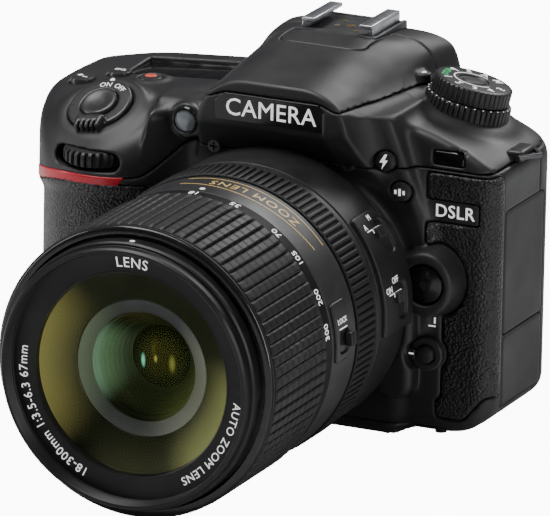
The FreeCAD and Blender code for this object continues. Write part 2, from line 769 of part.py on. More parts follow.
def lens_slide(label, place, along_barrel):
    """A small slide that sits at one end of its slot and stands a little proud."""
    distance, angle, foot, length, width = place
    long_side = length - SLIDE_CLEARANCE
    wide_side = width - SLIDE_CLEARANCE
    if along_barrel:
        size = (long_side - SLIDE_TRAVEL, wide_side)
        shift = (SLIDE_TRAVEL / 2, 0.0)
    else:
        size = (long_side, wide_side - SLIDE_TRAVEL)
        shift = (0.0, SLIDE_TRAVEL / 2)
    seat = foot + 0.1
    knob = on_barrel((SLIDE_TOP - seat, *size), distance, angle, seat, shift)
    name_part(label, rounded(knob, 0.35, lambda edge: edge.Length > 2))


def turning_rings():
    """Focus ring and zoom ring, running on the fixed sleeve."""
    name_part("focus_ring", lens_tube("focus_start", "focus_end", "focus_radius", "sleeve_outer + running"))
    name_part("zoom_ring", lens_tube("zoom_start", "zoom_end", "zoom_radius", "sleeve_outer + running"))


def inner_barrel():
    """Sliding barrel with the baffles that hold the glass."""
    shell = lens_tube(8, 91.6, "sleeve_inner - 0.06", 33.0)
    wide = cut(lens_rod(79, 81, 33.2), lens_rod(78, 82, 18.4))
    narrow = cut(lens_rod(66, 68, 33.2), lens_rod(65, 69, 10))
    rear = cut(lens_rod(30, 32, 33.2), lens_rod(29, 33, 14))
    name_part("inner_barrel", fuse(shell, wide, narrow, rear))


def front_ring():
    """Filter ring with the hood bayonet outside and the retaining ring inside."""
    collar = lens_rod(91.7, 96, 36.0)
    tip = lens_rod(96, "lens_length", 34.9)
    thread = lens_rod(94.2, 120, "filter_radius")
    passage = lens_rod(80, 120, "glass_radius + slip")
    name_part("front_ring", cut(fuse(collar, tip), thread, passage))


def dome(distance, radius, thickness, bulge_radius):
    """A disc of glass whose front face bulges towards the subject."""
    disc = lens_rod(distance - thickness, distance, radius)
    ball = doc.addObject("Part::Sphere", "ball")
    ball.Radius = bulge_radius
    ball.Placement.Base = Vector(0, cell("flange") - distance + bulge_radius, cell("axis_height"))
    return common(disc, ball)


def glass():
    """Front element, and the two inner elements with the rear group."""
    name_part("front_element", dome(94.0, "glass_radius", 6, 70))
    middle = dome(79.0, 24, 5, 60)
    narrow = dome(66.0, 14, 4, 40)
    rear = dome(30.0, 17, 5, 50)
    name_part("inner_elements", group(middle, narrow, rear))


def iris_blades():
    """Seven overlapping aperture blades, drawn as equal leaves around the opening."""
    blade_count = 7
    leaf = 360.0 / blade_count
    leaves = [switch_sweep(68.2, 68.6, 6, 17.0, n * leaf + 0.6, (n + 1) * leaf - 0.6) for n in range(blade_count)]
    name_part("iris_blades", group(*leaves))


# ---------------------------------------------------------------- build, check and write

def build():
    fill_sheet()
    block, hollow = case_block(), case_hollow()
    screws = front_screws() + base_screws()
    front_cover(block, hollow)
    rear_cover(block, hollow)
    bottom_cover(block, screws[2:])
    top_cover(block, hollow, screws[:2])
    case_screws(screws)
    for make in (mount_ring, mirror_box, reflex_mirror, shutter_curtain, image_sensor, main_board, battery,
                 viewfinder_prism, grip_rubber, grip_accent, side_rubber, name_plate, hot_shoe, strap_lugs,
                 eyecup, flash_head, shutter_button, power_switch, deck_buttons, front_buttons, back_buttons,
                 mode_dial, release_dial, command_dials, lens_release_button, focus_mode_lever,
                 focus_mode_button, doors, screen_bracket, screen_panel, multi_selector, ok_button,
                 lens_barrel, turning_rings, inner_barrel, front_ring, glass, iris_blades):
        make()
    lens_slide("zoom_lock_slider", LOCK_SLOT, True)
    lens_slide("focus_switch", FOCUS_SLOT, False)
    lens_slide("stabiliser_switch", STABILISER_SLOT, False)
    doc.recompute()


def check():
    """Stops with a plain message if anything in the document failed."""
    for piece in doc.Objects:
        if "Invalid" in piece.State or "Error" in piece.State:
            raise RuntimeError(f"{piece.Label} did not compute: {piece.State}")
    for piece in sub_parts:
        if piece.Shape.isNull() or not piece.Shape.isValid():
            raise RuntimeError(f"{piece.Label} has no valid shape")


def write():
    os.makedirs("parts", exist_ok=True)
    for piece in sub_parts:
        piece.Shape.exportStep(f"parts/{piece.Label}.step")
        print(piece.Label, len(piece.Shape.Solids), round(piece.Shape.Volume, 1))


build()
check()
write()
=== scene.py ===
import json
import math

import bmesh
import bpy
import numpy as np
from mathutils import Matrix, Vector


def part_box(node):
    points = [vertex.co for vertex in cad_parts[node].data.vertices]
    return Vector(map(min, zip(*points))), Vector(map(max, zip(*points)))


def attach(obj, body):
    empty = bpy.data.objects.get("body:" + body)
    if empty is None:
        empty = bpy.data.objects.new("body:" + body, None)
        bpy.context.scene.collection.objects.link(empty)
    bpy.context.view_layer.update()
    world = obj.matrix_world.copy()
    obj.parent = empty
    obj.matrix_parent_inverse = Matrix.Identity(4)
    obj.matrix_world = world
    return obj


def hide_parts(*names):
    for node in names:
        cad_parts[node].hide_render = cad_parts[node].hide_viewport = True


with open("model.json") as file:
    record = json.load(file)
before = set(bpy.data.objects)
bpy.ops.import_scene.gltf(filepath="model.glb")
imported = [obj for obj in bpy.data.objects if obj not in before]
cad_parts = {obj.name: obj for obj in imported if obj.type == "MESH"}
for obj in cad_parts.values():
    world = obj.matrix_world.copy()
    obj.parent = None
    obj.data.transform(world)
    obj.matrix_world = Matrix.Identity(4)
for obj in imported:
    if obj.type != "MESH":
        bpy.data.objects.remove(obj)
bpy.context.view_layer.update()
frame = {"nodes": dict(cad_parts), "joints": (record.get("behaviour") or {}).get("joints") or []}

MM = 0.001          # the shapes below are worked out in millimetres


# ---------------------------------------------------------------- places taken from the frame

def node_box(node):
    """Lowest and highest corners of a CAD node in millimetres."""
    low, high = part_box(node)
    return np.array(low) / MM, np.array(high) / MM


def node_centre(node):
    low, high = node_box(node)
    return (low + high) / 2


def joint_axis(name):
    joint = next(j for j in frame["joints"] if j["name"] == name)
    axis = np.array(joint["axis"], float)
    place = np.array(joint.get("pos_m", (0, 0, 0)), float) / MM
    return place, axis / np.linalg.norm(axis)


AXIS_Z = node_centre("zoom_ring")[2]                 # height of the lens axis
FLANGE = node_box("mount_ring")[0][1]                # front face of the lens mount
DECK_PLACE, DECK_AXIS = joint_axis("power_turn")     # sloping shutter deck
DIAL_TOP, DIAL_AXIS = joint_axis("mode_dial_turn")


# ---------------------------------------------------------------- materials

def new_material(name, build):
    """A node material; build gets the node maker and the shader, and wires the look."""
    material = bpy.data.materials.new(name)
    material.use_nodes = True
    tree = material.node_tree
    shader = tree.nodes["Principled BSDF"]

    def node(kind, **values):
        made = tree.nodes.new(kind)
        for key, value in values.items():
            if key in made.inputs:
                made.inputs[key].default_value = value
            else:
                setattr(made, key, value)
        return made

    build(node, tree.links.new, shader)
    return material


def object_place(node):
    """Coordinates of the surface in metres, the same at every pose."""
    return node("ShaderNodeTexCoord").outputs["Object"]


def ramp(node, link, factor, low, high, low_value, high_value):
    """Maps a factor between two limits onto two values."""
    mapping = node("ShaderNodeMapRange")
    mapping.inputs["From Min"].default_value = low
    mapping.inputs["From Max"].default_value = high
    mapping.inputs["To Min"].default_value = low_value
    mapping.inputs["To Max"].default_value = high_value
    link(factor, mapping.inputs["Value"])
    return mapping.outputs["Result"]


def mix_colour(node, link, factor, first, second):
    mix = node("ShaderNodeMix", data_type="RGBA")
    mix.inputs[6].default_value = (*first, 1)
    mix.inputs[7].default_value = (*second, 1)
    link(factor, mix.inputs[0])
    return mix.outputs[2]


def edge_wear(node, link):
    """High on convex edges, broken up by noise."""
    geometry = node("ShaderNodeNewGeometry")
    place = object_place(node)
    patches = node("ShaderNodeTexNoise", Scale=300.0, Detail=3.0)
    link(place, patches.inputs["Vector"])
    edge = ramp(node, link, geometry.outputs["Pointiness"], 0.53, 0.62, 0.0, 1.0)
    broken = node("ShaderNodeMath", operation="MULTIPLY")
    link(edge, broken.inputs[0])
    link(ramp(node, link, patches.outputs["Fac"], 0.4, 0.7, 0.2, 1.0), broken.inputs[1])
    return broken.outputs[0]


def grained(colour, worn, grain, depth, roughness, coarse=False, spread=0.08, sheen=0.5):
    """Moulded plastic or rubber: a grain of a given size in metres, with soft wear on its edges."""
    def build(node, link, shader):
        place = object_place(node)
        if coarse:
            cells = node("ShaderNodeTexVoronoi", feature="SMOOTH_F1", Scale=1 / grain, Randomness=1.0)
            cells.inputs["Smoothness"].default_value = 0.35
            warp = node("ShaderNodeTexNoise", Scale=0.6 / grain, Detail=2.0)
            link(place, warp.inputs["Vector"])
            shift = node("ShaderNodeVectorMath", operation="MULTIPLY_ADD")
            shift.inputs[1].default_value = (grain * 0.7,) * 3
            link(warp.outputs["Color"], shift.inputs[0])
            link(place, shift.inputs[2])
            link(shift.outputs[0], cells.inputs["Vector"])
            height = ramp(node, link, cells.outputs["Distance"], 0.15, 0.75, 1.0, 0.0)
        else:
            cells = node("ShaderNodeTexNoise", Scale=1 / grain, Detail=3.0, Roughness=0.6)
            link(place, cells.inputs["Vector"])
            height = cells.outputs["Fac"]
        bump = node("ShaderNodeBump", Strength=1.0, Distance=depth)
        link(height, bump.inputs["Height"])
        link(bump.outputs["Normal"], shader.inputs["Normal"])
        mottle = node("ShaderNodeTexNoise", Scale=60.0, Detail=4.0)
        link(place, mottle.inputs["Vector"])
        rough = ramp(node, link, mottle.outputs["Fac"], 0.3, 0.7, roughness - spread, roughness + spread)
        link(rough, shader.inputs["Roughness"])
        link(mix_colour(node, link, edge_wear(node, link), colour, worn), shader.inputs["Base Color"])
        shader.inputs["Specular IOR Level"].default_value = sheen
    return build


def ribbed_rubber(deep, crest):
    """Barrel rubber with painted shade in its grooves: nearer the lens axis it is darker and less shiny."""
    def build(node, link, shader):
        rubber = grained((0.016, 0.016, 0.017), (0.03, 0.03, 0.031), 0.0003, 0.00003, 0.5, sheen=0.4)
        rubber(node, link, shader)
        centred = node("ShaderNodeVectorMath", operation="MULTIPLY_ADD")
        centred.inputs[1].default_value = (1, 0, 1)
        centred.inputs[2].default_value = (0, 0, -AXIS_Z * MM)
        link(object_place(node), centred.inputs[0])
        away = node("ShaderNodeVectorMath", operation="LENGTH")
        link(centred.outputs[0], away.inputs[0])
        height = ramp(node, link, away.outputs["Value"], deep * MM, crest * MM, 0.0, 1.0)
        # painted shade in the grooves: darker colour and less shine nearer the lens axis than on the crests
        link(mix_colour(node, link, height, (0.007, 0.007, 0.007), (0.015, 0.015, 0.0155)),
             shader.inputs["Base Color"])
        link(ramp(node, link, height, 0.0, 1.0, 0.08, 0.28), shader.inputs["Specular IOR Level"])
    return build


def metal(colour, roughness, scratch=0.00002):
    """Brushed or cast metal with fine streaks and darker hollows."""
    def build(node, link, shader):
        place = object_place(node)
        stretch = node("ShaderNodeMapping")
        stretch.inputs["Scale"].default_value = (1.0, 12.0, 12.0)
        link(place, stretch.inputs["Vector"])
        streaks = node("ShaderNodeTexNoise", Scale=400.0, Detail=4.0)
        link(stretch.outputs[0], streaks.inputs["Vector"])
        bump = node("ShaderNodeBump", Strength=0.5, Distance=scratch)
        link(streaks.outputs["Fac"], bump.inputs["Height"])
        link(bump.outputs["Normal"], shader.inputs["Normal"])
        link(ramp(node, link, streaks.outputs["Fac"], 0.3, 0.7, roughness - 0.07, roughness + 0.07),
             shader.inputs["Roughness"])
        link(mix_colour(node, link, edge_wear(node, link), colour, tuple(min(1, c * 1.5) for c in colour)),
             shader.inputs["Base Color"])
        shader.inputs["Metallic"].default_value = 1.0
    return build


def paint(colour, roughness=0.45, glow=0.0):
    """Printed or inlaid marking; glow is a painted glow, an emission that makes the print brighter than the
    lamps light it.
    """
    def build(node, link, shader):
        place = object_place(node)
        speckle = node("ShaderNodeTexNoise", Scale=3000.0, Detail=2.0)
        link(place, speckle.inputs["Vector"])
        link(mix_colour(node, link, ramp(node, link, speckle.outputs["Fac"], 0.35, 0.65, 0, 1),
                        tuple(c * 0.82 for c in colour), colour), shader.inputs["Base Color"])
        link(ramp(node, link, speckle.outputs["Fac"], 0.3, 0.7, roughness - 0.1, roughness + 0.1),
             shader.inputs["Roughness"])
        # painted glow: the print emits its own colour, though it is no lamp
        shader.inputs["Emission Color"].default_value = (*colour, 1)
        shader.inputs["Emission Strength"].default_value = glow
    return build


def coated_glass(inner, outer, rim_radius, roughness=0.03):
    """Coated lens glass, drawn dark with painted coloured reflections in its base colour that change towards
    the rim.
    """
    def build(node, link, shader):
        place = object_place(node)
        split = node("ShaderNodeSeparateXYZ")
        link(place, split.inputs[0])
        height = node("ShaderNodeMath", operation="SUBTRACT")
        height.inputs[1].default_value = AXIS_Z * MM
        link(split.outputs["Z"], height.inputs[0])
        flat = node("ShaderNodeCombineXYZ")
        link(split.outputs["X"], flat.inputs[0])
        link(height.outputs[0], flat.inputs[1])
        distance = node("ShaderNodeVectorMath", operation="LENGTH")
        link(flat.outputs[0], distance.inputs[0])
        share = ramp(node, link, distance.outputs["Value"], 0.0, rim_radius * MM, 0.0, 1.0)
        # painted reflections: the base colour is graded from the middle to the rim
        ring = node("ShaderNodeValToRGB")
        ring.color_ramp.elements[0].color = (*inner[0], 1)
        ring.color_ramp.elements[1].color = (*outer, 1)
        for n, colour in enumerate(inner[1:], start=1):
            stop = ring.color_ramp.elements.new(n / len(inner))
            stop.color = (*colour, 1)
        link(share, ring.inputs[0])
        link(ring.outputs["Color"], shader.inputs["Base Color"])
        smudge = node("ShaderNodeTexNoise", Scale=120.0, Detail=2.0)
        link(place, smudge.inputs["Vector"])
        link(ramp(node, link, smudge.outputs["Fac"], 0.3, 0.7, roughness, roughness + 0.04),
             shader.inputs["Roughness"])
        shader.inputs["Coat Weight"].default_value = 1.0
        shader.inputs["Coat Roughness"].default_value = 0.02
    return build


def clear_glass(tint, strength):
    """Thin transparent coated glass: mostly see-through, with a tinted mirror reflection."""
    def build(node, link, shader):
        tree = shader.id_data
        output = next(n for n in tree.nodes if n.type == "OUTPUT_MATERIAL")
        clear = node("ShaderNodeBsdfTransparent")
        clear.inputs["Color"].default_value = (0.93, 0.95, 0.88, 1)
        mirror = node("ShaderNodeBsdfGlossy", Roughness=0.015)
        mirror.inputs["Color"].default_value = (*tint, 1)
        view = node("ShaderNodeLayerWeight", Blend=0.35)
        smudge = node("ShaderNodeTexNoise", Scale=90.0, Detail=2.0)
        link(object_place(node), smudge.inputs["Vector"])
        link(ramp(node, link, smudge.outputs["Fac"], 0.3, 0.7, 0.008, 0.03), mirror.inputs["Roughness"])
        mix = node("ShaderNodeMixShader")
        link(ramp(node, link, view.outputs["Fresnel"], 0.2, 1.0, strength, 0.6), mix.inputs[0])
        link(clear.outputs[0], mix.inputs[1])
        link(mirror.outputs[0], mix.inputs[2])
        link(mix.outputs[0], output.inputs["Surface"])
    return build


def inner_glow(base, glows, near=0.0, far=0.0, roughness=0.35, grain=0.0005):
    """Dark lens interior with soft coloured reflections painted in as emission.

    Each glow is (direction, lowest cosine, colour): a painted reflection that glows on the part of the ring
    that faces that way across the lens axis. With near and far, radii in millimetres, the glow fades inwards.
    """
    def build(node, link, shader):
        place = object_place(node)
        centred = node("ShaderNodeVectorMath", operation="MULTIPLY_ADD")
        centred.inputs[1].default_value = (1, 0, 1)
        centred.inputs[2].default_value = (0, 0, -AXIS_Z * MM)
        link(place, centred.inputs[0])
        outward = node("ShaderNodeVectorMath", operation="NORMALIZE")
        link(centred.outputs[0], outward.inputs[0])
        cloud = node("ShaderNodeTexNoise", Scale=1 / grain, Detail=2.0)
        link(place, cloud.inputs["Vector"])
        link(ramp(node, link, cloud.outputs["Fac"], 0.3, 0.7, roughness - 0.05, roughness + 0.05),
             shader.inputs["Roughness"])
        shader.inputs["Base Color"].default_value = (*base, 1)
        total = None
        for direction, lowest, colour in glows:
            facing = node("ShaderNodeVectorMath", operation="DOT_PRODUCT")
            facing.inputs[1].default_value = direction
            link(outward.outputs[0], facing.inputs[0])
            strength = node("ShaderNodeMapRange", interpolation_type="SMOOTHSTEP")
            strength.inputs["From Min"].default_value = lowest
            strength.inputs["From Max"].default_value = 1.0
            link(facing.outputs["Value"], strength.inputs["Value"])
            tinted = node("ShaderNodeVectorMath", operation="SCALE")
            tinted.inputs[0].default_value = colour
            link(strength.outputs["Result"], tinted.inputs["Scale"])
            if total is None:
                total = tinted.outputs[0]
            else:
                added = node("ShaderNodeVectorMath", operation="ADD")
                link(total, added.inputs[0])
                link(tinted.outputs[0], added.inputs[1])
                total = added.outputs[0]
        # painted reflections: the summed glows go out as emission
        link(total, shader.inputs["Emission Color"])
        shader.inputs["Emission Strength"].default_value = 1.0
        if far > near:
            away = node("ShaderNodeVectorMath", operation="LENGTH")
            link(centred.outputs[0], away.inputs[0])
            link(ramp(node, link, away.outputs["Value"], near * MM, far * MM, 0.1, 1.0),
                 shader.inputs["Emission Strength"])
    return build


def glinting_glass(base, glints):
    """Dark coated glass with small soft reflections painted in as glowing spots.

    Each glint is (x, height above the lens axis, half width, half height, colour), in millimetres.
    """
    def build(node, link, shader):
        place = object_place(node)
        smudge = node("ShaderNodeTexNoise", Scale=200.0, Detail=2.0)
        link(place, smudge.inputs["Vector"])
        link(ramp(node, link, smudge.outputs["Fac"], 0.3, 0.7, 0.5, 0.6), shader.inputs["Roughness"])
        shader.inputs["Base Color"].default_value = (*base, 1)
        shader.inputs["Specular IOR Level"].default_value = 0.02
        total = None
        for x, z, wide, high, colour in glints:
            local = node("ShaderNodeVectorMath", operation="MULTIPLY_ADD")
            local.inputs[1].default_value = (1 / (wide * MM), 0, 1 / (high * MM))
            local.inputs[2].default_value = (-x / wide, 0, -(AXIS_Z + z) / high)
            link(place, local.inputs[0])
            away = node("ShaderNodeVectorMath", operation="LENGTH")
            link(local.outputs[0], away.inputs[0])
            strength = node("ShaderNodeMapRange", interpolation_type="SMOOTHSTEP")
            strength.inputs["From Min"].default_value = 1.0
            strength.inputs["From Max"].default_value = 0.2
            link(away.outputs["Value"], strength.inputs["Value"])
            tinted = node("ShaderNodeVectorMath", operation="SCALE")
            tinted.inputs[0].default_value = colour
            link(strength.outputs["Result"], tinted.inputs["Scale"])
            if total is None:
                total = tinted.outputs[0]
            else:
                added = node("ShaderNodeVectorMath", operation="ADD")
                link(total, added.inputs[0])
                link(tinted.outputs[0], added.inputs[1])
                total = added.outputs[0]
        # painted glints: the soft spots go out as emission
        link(total, shader.inputs["Emission Color"])
        shader.inputs["Emission Strength"].default_value = 1.0
        shader.inputs["Coat Weight"].default_value = 0.0
    return build


BLACK = (0.016, 0.016, 0.017)
WORN = (0.045, 0.045, 0.047)

LOOKS = {
    "casing": grained(BLACK, WORN, 0.00035, 0.00003, 0.47),
    "covering": grained((0.013, 0.013, 0.014), (0.03, 0.03, 0.031), 0.00072, 0.00024, 0.34, coarse=True),
    "door_rubber": grained((0.022, 0.022, 0.023), (0.04, 0.04, 0.041), 0.0004, 0.00003, 0.55),
    "accent": grained((0.55, 0.02, 0.035), (0.7, 0.08, 0.09), 0.0006, 0.00001, 0.28),
    "ring_rubber": grained((0.018, 0.018, 0.019), (0.045, 0.045, 0.046), 0.0003, 0.00004, 0.5),
    # zoom and focus rubber carry painted shade in their grooves
    "zoom_rubber": ribbed_rubber(38.75, 39.15),
    "focus_rubber": ribbed_rubber(38.65, 38.95),
    "barrel": grained((0.014, 0.014, 0.015), WORN, 0.00045, 0.00003, 0.4),
    "front_black": grained((0.007, 0.007, 0.008), (0.03, 0.03, 0.03), 0.0006, 0.000008, 0.42, sheen=0.35),
    "gloss_black": grained((0.008, 0.008, 0.009), (0.03, 0.03, 0.03), 0.001, 0.000004, 0.16),
    "dials": grained(BLACK, (0.07, 0.07, 0.072), 0.0003, 0.00002, 0.38),
    "buttons": grained((0.02, 0.02, 0.021), (0.06, 0.06, 0.062), 0.00025, 0.00002, 0.36),
    "red_button": grained((0.65, 0.05, 0.03), (0.8, 0.2, 0.15), 0.0004, 0.00001, 0.35),
    "steel": metal((0.42, 0.43, 0.45), 0.34),
    "dark_steel": metal((0.12, 0.12, 0.125), 0.4),
    "brass": metal((0.75, 0.55, 0.28), 0.3),
    # the white, green and gold print carry a painted glow
    "white": paint((0.82, 0.82, 0.82), glow=0.9),
    "green": paint((0.03, 0.5, 0.16), glow=0.3),
    "gold": paint((0.62, 0.43, 0.16), 0.35, 0.25),
    "grey": paint((0.25, 0.25, 0.26)),
    "circuit": grained((0.02, 0.12, 0.05), (0.05, 0.2, 0.1), 0.0005, 0.00001, 0.4),
    "cell": grained((0.05, 0.05, 0.055), (0.12, 0.12, 0.12), 0.0005, 0.00002, 0.45),
    "iris": grained((0.01, 0.01, 0.011), (0.03, 0.03, 0.03), 0.0006, 0.00001, 0.45),
    "baffle": grained((0.02, 0.02, 0.02), (0.05, 0.05, 0.05), 0.0004, 0.00003, 0.5),
    "front_glass": clear_glass((0.7, 0.8, 0.35), 0.006),
    "second_glass": clear_glass((0.5, 0.7, 0.3), 0.01),
    "satin_button": grained((0.03, 0.03, 0.031), (0.09, 0.09, 0.092), 0.0003, 0.000008, 0.3),
    "lamp": clear_glass((0.9, 0.95, 1.0), 0.45),
    # painted reflections inside the lens: emission on the throat, inner ring and baffle, and painted glints on
    # the rear glass
    "throat": inner_glow((0.006, 0.006, 0.005), [((-1, 0, 0.02), 0.55, (0.21, 0.185, 0.06)),
                                                 ((0.90, 0, -0.43), 0.70, (0.21, 0.21, 0.085)),
                                                 ((0.2, 0, -1), 0.70, (0.030, 0.028, 0.018))], 18.5, 27.5),
    "throat_ring": inner_glow((0.02, 0.02, 0.022), [((-1, 0, 0.1), 0.45, (0.09, 0.115, 0.085)),
                                                    ((0.95, 0, -0.3), 0.25, (0.13, 0.13, 0.115)),
                                                    ((0.0, 0, -1), 0.3, (0.04, 0.04, 0.05)),
                                                    ((0.35, 0, 0.94), 0.2, (0.035, 0.035, 0.05))], 9.0, 18.5),
    "throat_depth": inner_glow((0.003, 0.003, 0.002), [((-1, 0, 0.0), 0.62, (0.12, 0.22, 0.15)),
                                                       ((0.85, 0, -0.5), 0.5, (0.05, 0.055, 0.018)),
                                                       ((0.1, 0, 1), 0.6, (0.018, 0.010, 0.003))], 9.5, 15.0),
    "rear_glass": glinting_glass((0.003, 0.003, 0.001), [(-5.3, -1.9, 0.9, 2.6, (0.22, 0.80, 0.66)),
                                                         (-1.4, -0.8, 0.7, 1.4, (0.45, 0.36, 0.10)),
                                                         (3.2, -1.7, 1.2, 3.2, (0.20, 0.19, 0.045)),
                                                         (-2.0, 2.0, 1.2, 3.6, (0.035, 0.028, 0.004)),
                                                         (0.0, 0.0, 9.0, 9.0, (0.018, 0.014, 0.002))]),
    # prism and sensor glass carry painted coloured reflections in their base colour
    "prism_glass": coated_glass([(0.3, 0.33, 0.35), (0.25, 0.28, 0.3)], (0.2, 0.22, 0.24), 60.0),
    "mirror_glass": metal((0.8, 0.8, 0.82), 0.12, 0.000002),
    "sensor": coated_glass([(0.05, 0.12, 0.1), (0.08, 0.05, 0.12)], (0.02, 0.1, 0.06), 20.0),
    "screen": grained((0.006, 0.006, 0.008), (0.02, 0.02, 0.022), 0.002, 0.000002, 0.12),
    "window": grained((0.004, 0.003, 0.004), (0.01, 0.01, 0.01), 0.002, 0.000002, 0.1),
}
MATERIALS = {name: new_material(name, build) for name, build in LOOKS.items()}


# ---------------------------------------------------------------- making pieces

def piece(name, points, faces, look, body, replaces=(), flat_angle=None):
    """Makes a mesh piece from points in millimetres; it rides on a CAD body."""
    mesh = bpy.data.meshes.new(name)
    corners = [tuple(p) for p in np.asarray(points, float) * MM]
    mesh.from_pydata(corners, [], [tuple(map(int, f)) for f in faces])
    mesh.validate()
    mesh.update()
    made = bpy.data.objects.new(name, mesh)
    bpy.context.scene.collection.objects.link(made)
    mesh.materials.append(MATERIALS[look])
    mesh.polygons.foreach_set("use_smooth", [True] * len(mesh.polygons))
    if flat_angle is not None:
        mesh.set_sharp_from_angle(angle=math.radians(flat_angle))
    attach(made, body)
    if replaces:
        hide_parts(*replaces)
    return made


def frame_of(axis, hint=(0.0, 0.0, 1.0)):
    """A right-handed frame whose third vector is the axis."""
    axis = np.asarray(axis, float) / np.linalg.norm(axis)
    first = np.cross(hint, axis)
    if np.linalg.norm(first) < 1e-6:
        first = np.cross((0.0, 1.0, 0.0), axis)
    first /= np.linalg.norm(first)
    return first, np.cross(axis, first), axis


def lathe(name, profile, origin, axis, look, body, steps=96, replaces=(), flat_angle=30, wave=None):
    """Turns a closed or open profile of (radius, distance along the axis) about an axis.

    wave(angles, radius, distance) may add a radial offset to make ribs or notches.
    """
    first, second, third = frame_of(axis)
    angles = np.linspace(0, 2 * math.pi, steps, endpoint=False)
    points, faces = [], []
    for radius, distance in profile:
        radii = np.full(steps, float(radius))
        if wave is not None:
            radii = radii + wave(angles, radius, distance)
        ring = (np.outer(radii * np.cos(angles), first) + np.outer(radii * np.sin(angles), second)
                + np.asarray(origin, float) + distance * third)
        points.append(ring)
    count = len(profile)
    closed = profile[0] == profile[-1]
    if closed:
        points.pop()
        count -= 1
    for n in range(count if closed else count - 1):
        here, there = n * steps, ((n + 1) % count) * steps
        for k in range(steps):
            after = (k + 1) % steps
            faces.append((here + k, here + after, there + after, there + k))
    points = list(np.concatenate(points))
    if not closed:
        for row, flip in ((0, True), (count - 1, False)):
            if profile[row][0] > 1e-6:
                ring = list(range(row * steps, (row + 1) * steps))
                faces.append(ring[::-1] if flip else ring)
    return piece(name, points, faces, look, body, replaces, flat_angle)


def lens_lathe(name, profile, look, body, steps=144, replaces=(), flat_angle=30, wave=None):
    """A lathe about the lens axis; the profile is (radius, distance in front of the flange)."""
    return lathe(name, profile, (0, FLANGE, AXIS_Z), (0, -1, 0), look, body, steps, replaces, flat_angle,
                 wave)


# ---------------------------------------------------------------- distance fields

def smooth_min(a, b, k):
    share = np.maximum(k - np.abs(a - b), 0) / k
    return np.minimum(a, b) - share * share * k / 4


def smooth_max(a, b, k):
    return -smooth_min(-a, -b, k)


def plan_box(x, y, x_low, x_high, y_low, y_high, r):
    """Distance to a rounded rectangle."""
    dx = np.abs(x - (x_low + x_high) / 2) - (x_high - x_low) / 2 + r
    dy = np.abs(y - (y_low + y_high) / 2) - (y_high - y_low) / 2 + r
    return np.hypot(np.maximum(dx, 0), np.maximum(dy, 0)) + np.minimum(np.maximum(dx, dy), 0) - r


def prism(plan, z, low, high, edge):
    """A plan distance made into a block between two heights, with rounded edges."""
    d = plan + edge
    h = np.abs(z - (low + high) / 2) - (high - low) / 2 + edge
    return np.hypot(np.maximum(d, 0), np.maximum(h, 0)) + np.minimum(np.maximum(d, h), 0) - edge


def block(x, y, z, xs, ys, zs, r):
    edge = min(r, (zs[1] - zs[0]) / 2.01)
    return prism(plan_box(x, y, xs[0], xs[1], ys[0], ys[1], r), z, zs[0], zs[1], edge)


def plane(x, y, z, point, normal):
    n = np.asarray(normal, float) / np.linalg.norm(normal)
    return (x - point[0]) * n[0] + (y - point[1]) * n[1] + (z - point[2]) * n[2]


def capped_rod(x, y, z, origin, axis, low, high, radius, edge=0.5):
    """A cylinder from low to high along an axis through an origin."""
    n = np.asarray(axis, float) / np.linalg.norm(axis)
    dx, dy, dz = x - origin[0], y - origin[1], z - origin[2]
    along = dx * n[0] + dy * n[1] + dz * n[2]
    away = np.sqrt(np.maximum(dx * dx + dy * dy + dz * dz - along * along, 0))
    return prism(away - radius, along, low, high, edge)


def ease(value, low, high):
    t = np.clip((value - low) / (high - low), 0, 1)
    return t * t * (3 - 2 * t)


def surface_net(field, low, high, step):
    """Points and quads of the surface where a field is zero, inside a box."""
    axes = [np.arange(low[n], high[n] + step, step, dtype=np.float32) for n in range(3)]
    values = field(*np.meshgrid(*axes, indexing="ij")).astype(np.float32)
    inside = values < 0
    count = np.zeros(tuple(n - 1 for n in values.shape), np.uint8)
    corners = [(i, j, k) for i in (0, 1) for j in (0, 1) for k in (0, 1)]
    shape = count.shape
    for i, j, k in corners:
        count += inside[i:i + shape[0], j:j + shape[1], k:k + shape[2]]
    cells = np.argwhere((count > 0) & (count < 8))
    number = np.full(shape, -1, np.int64)
    number[tuple(cells.T)] = np.arange(len(cells))
    total = np.zeros((len(cells), 3))
    hits = np.zeros(len(cells))
    for first in corners:
        for axis in range(3):
            if first[axis]:
                continue
            second = tuple(c + (n == axis) for n, c in enumerate(first))
            a = values[tuple((cells + first).T)]
            b = values[tuple((cells + second).T)]
            cross = (a < 0) != (b < 0)
            share = np.where(cross, a / np.where(cross, a - b, 1), 0)
            spot = np.tile(np.array(first, float), (len(cells), 1))
            spot[:, axis] += share
            total[cross] += spot[cross]
            hits += cross
    origin = np.array([a[0] for a in axes], float)
    points = origin + (cells + total / hits[:, None]) * step
    quads = []
    for axis in range(3):
        u, v = (axis + 1) % 3, (axis + 2) % 3
        near = [slice(None)] * 3
        far = [slice(None)] * 3
        near[axis], far[axis] = slice(0, -1), slice(1, None)
        a, b = inside[tuple(near)], inside[tuple(far)]
        change = a != b
        edges = np.argwhere(change)
        edges = edges[(edges[:, u] > 0) & (edges[:, v] > 0) & (edges[:, u] < values.shape[u] - 1)
                      & (edges[:, v] < values.shape[v] - 1)]
        ring = []
        for du, dv in ((-1, -1), (0, -1), (0, 0), (-1, 0)):
            cell = edges.copy()
            cell[:, u] += du
            cell[:, v] += dv
            ring.append(number[tuple(cell.T)])
        ring = np.stack(ring, 1)
        outward = a[tuple(edges.T)]
        ring[~outward] = ring[~outward][:, ::-1]
        quads.append(ring)
    return points, np.concatenate(quads)


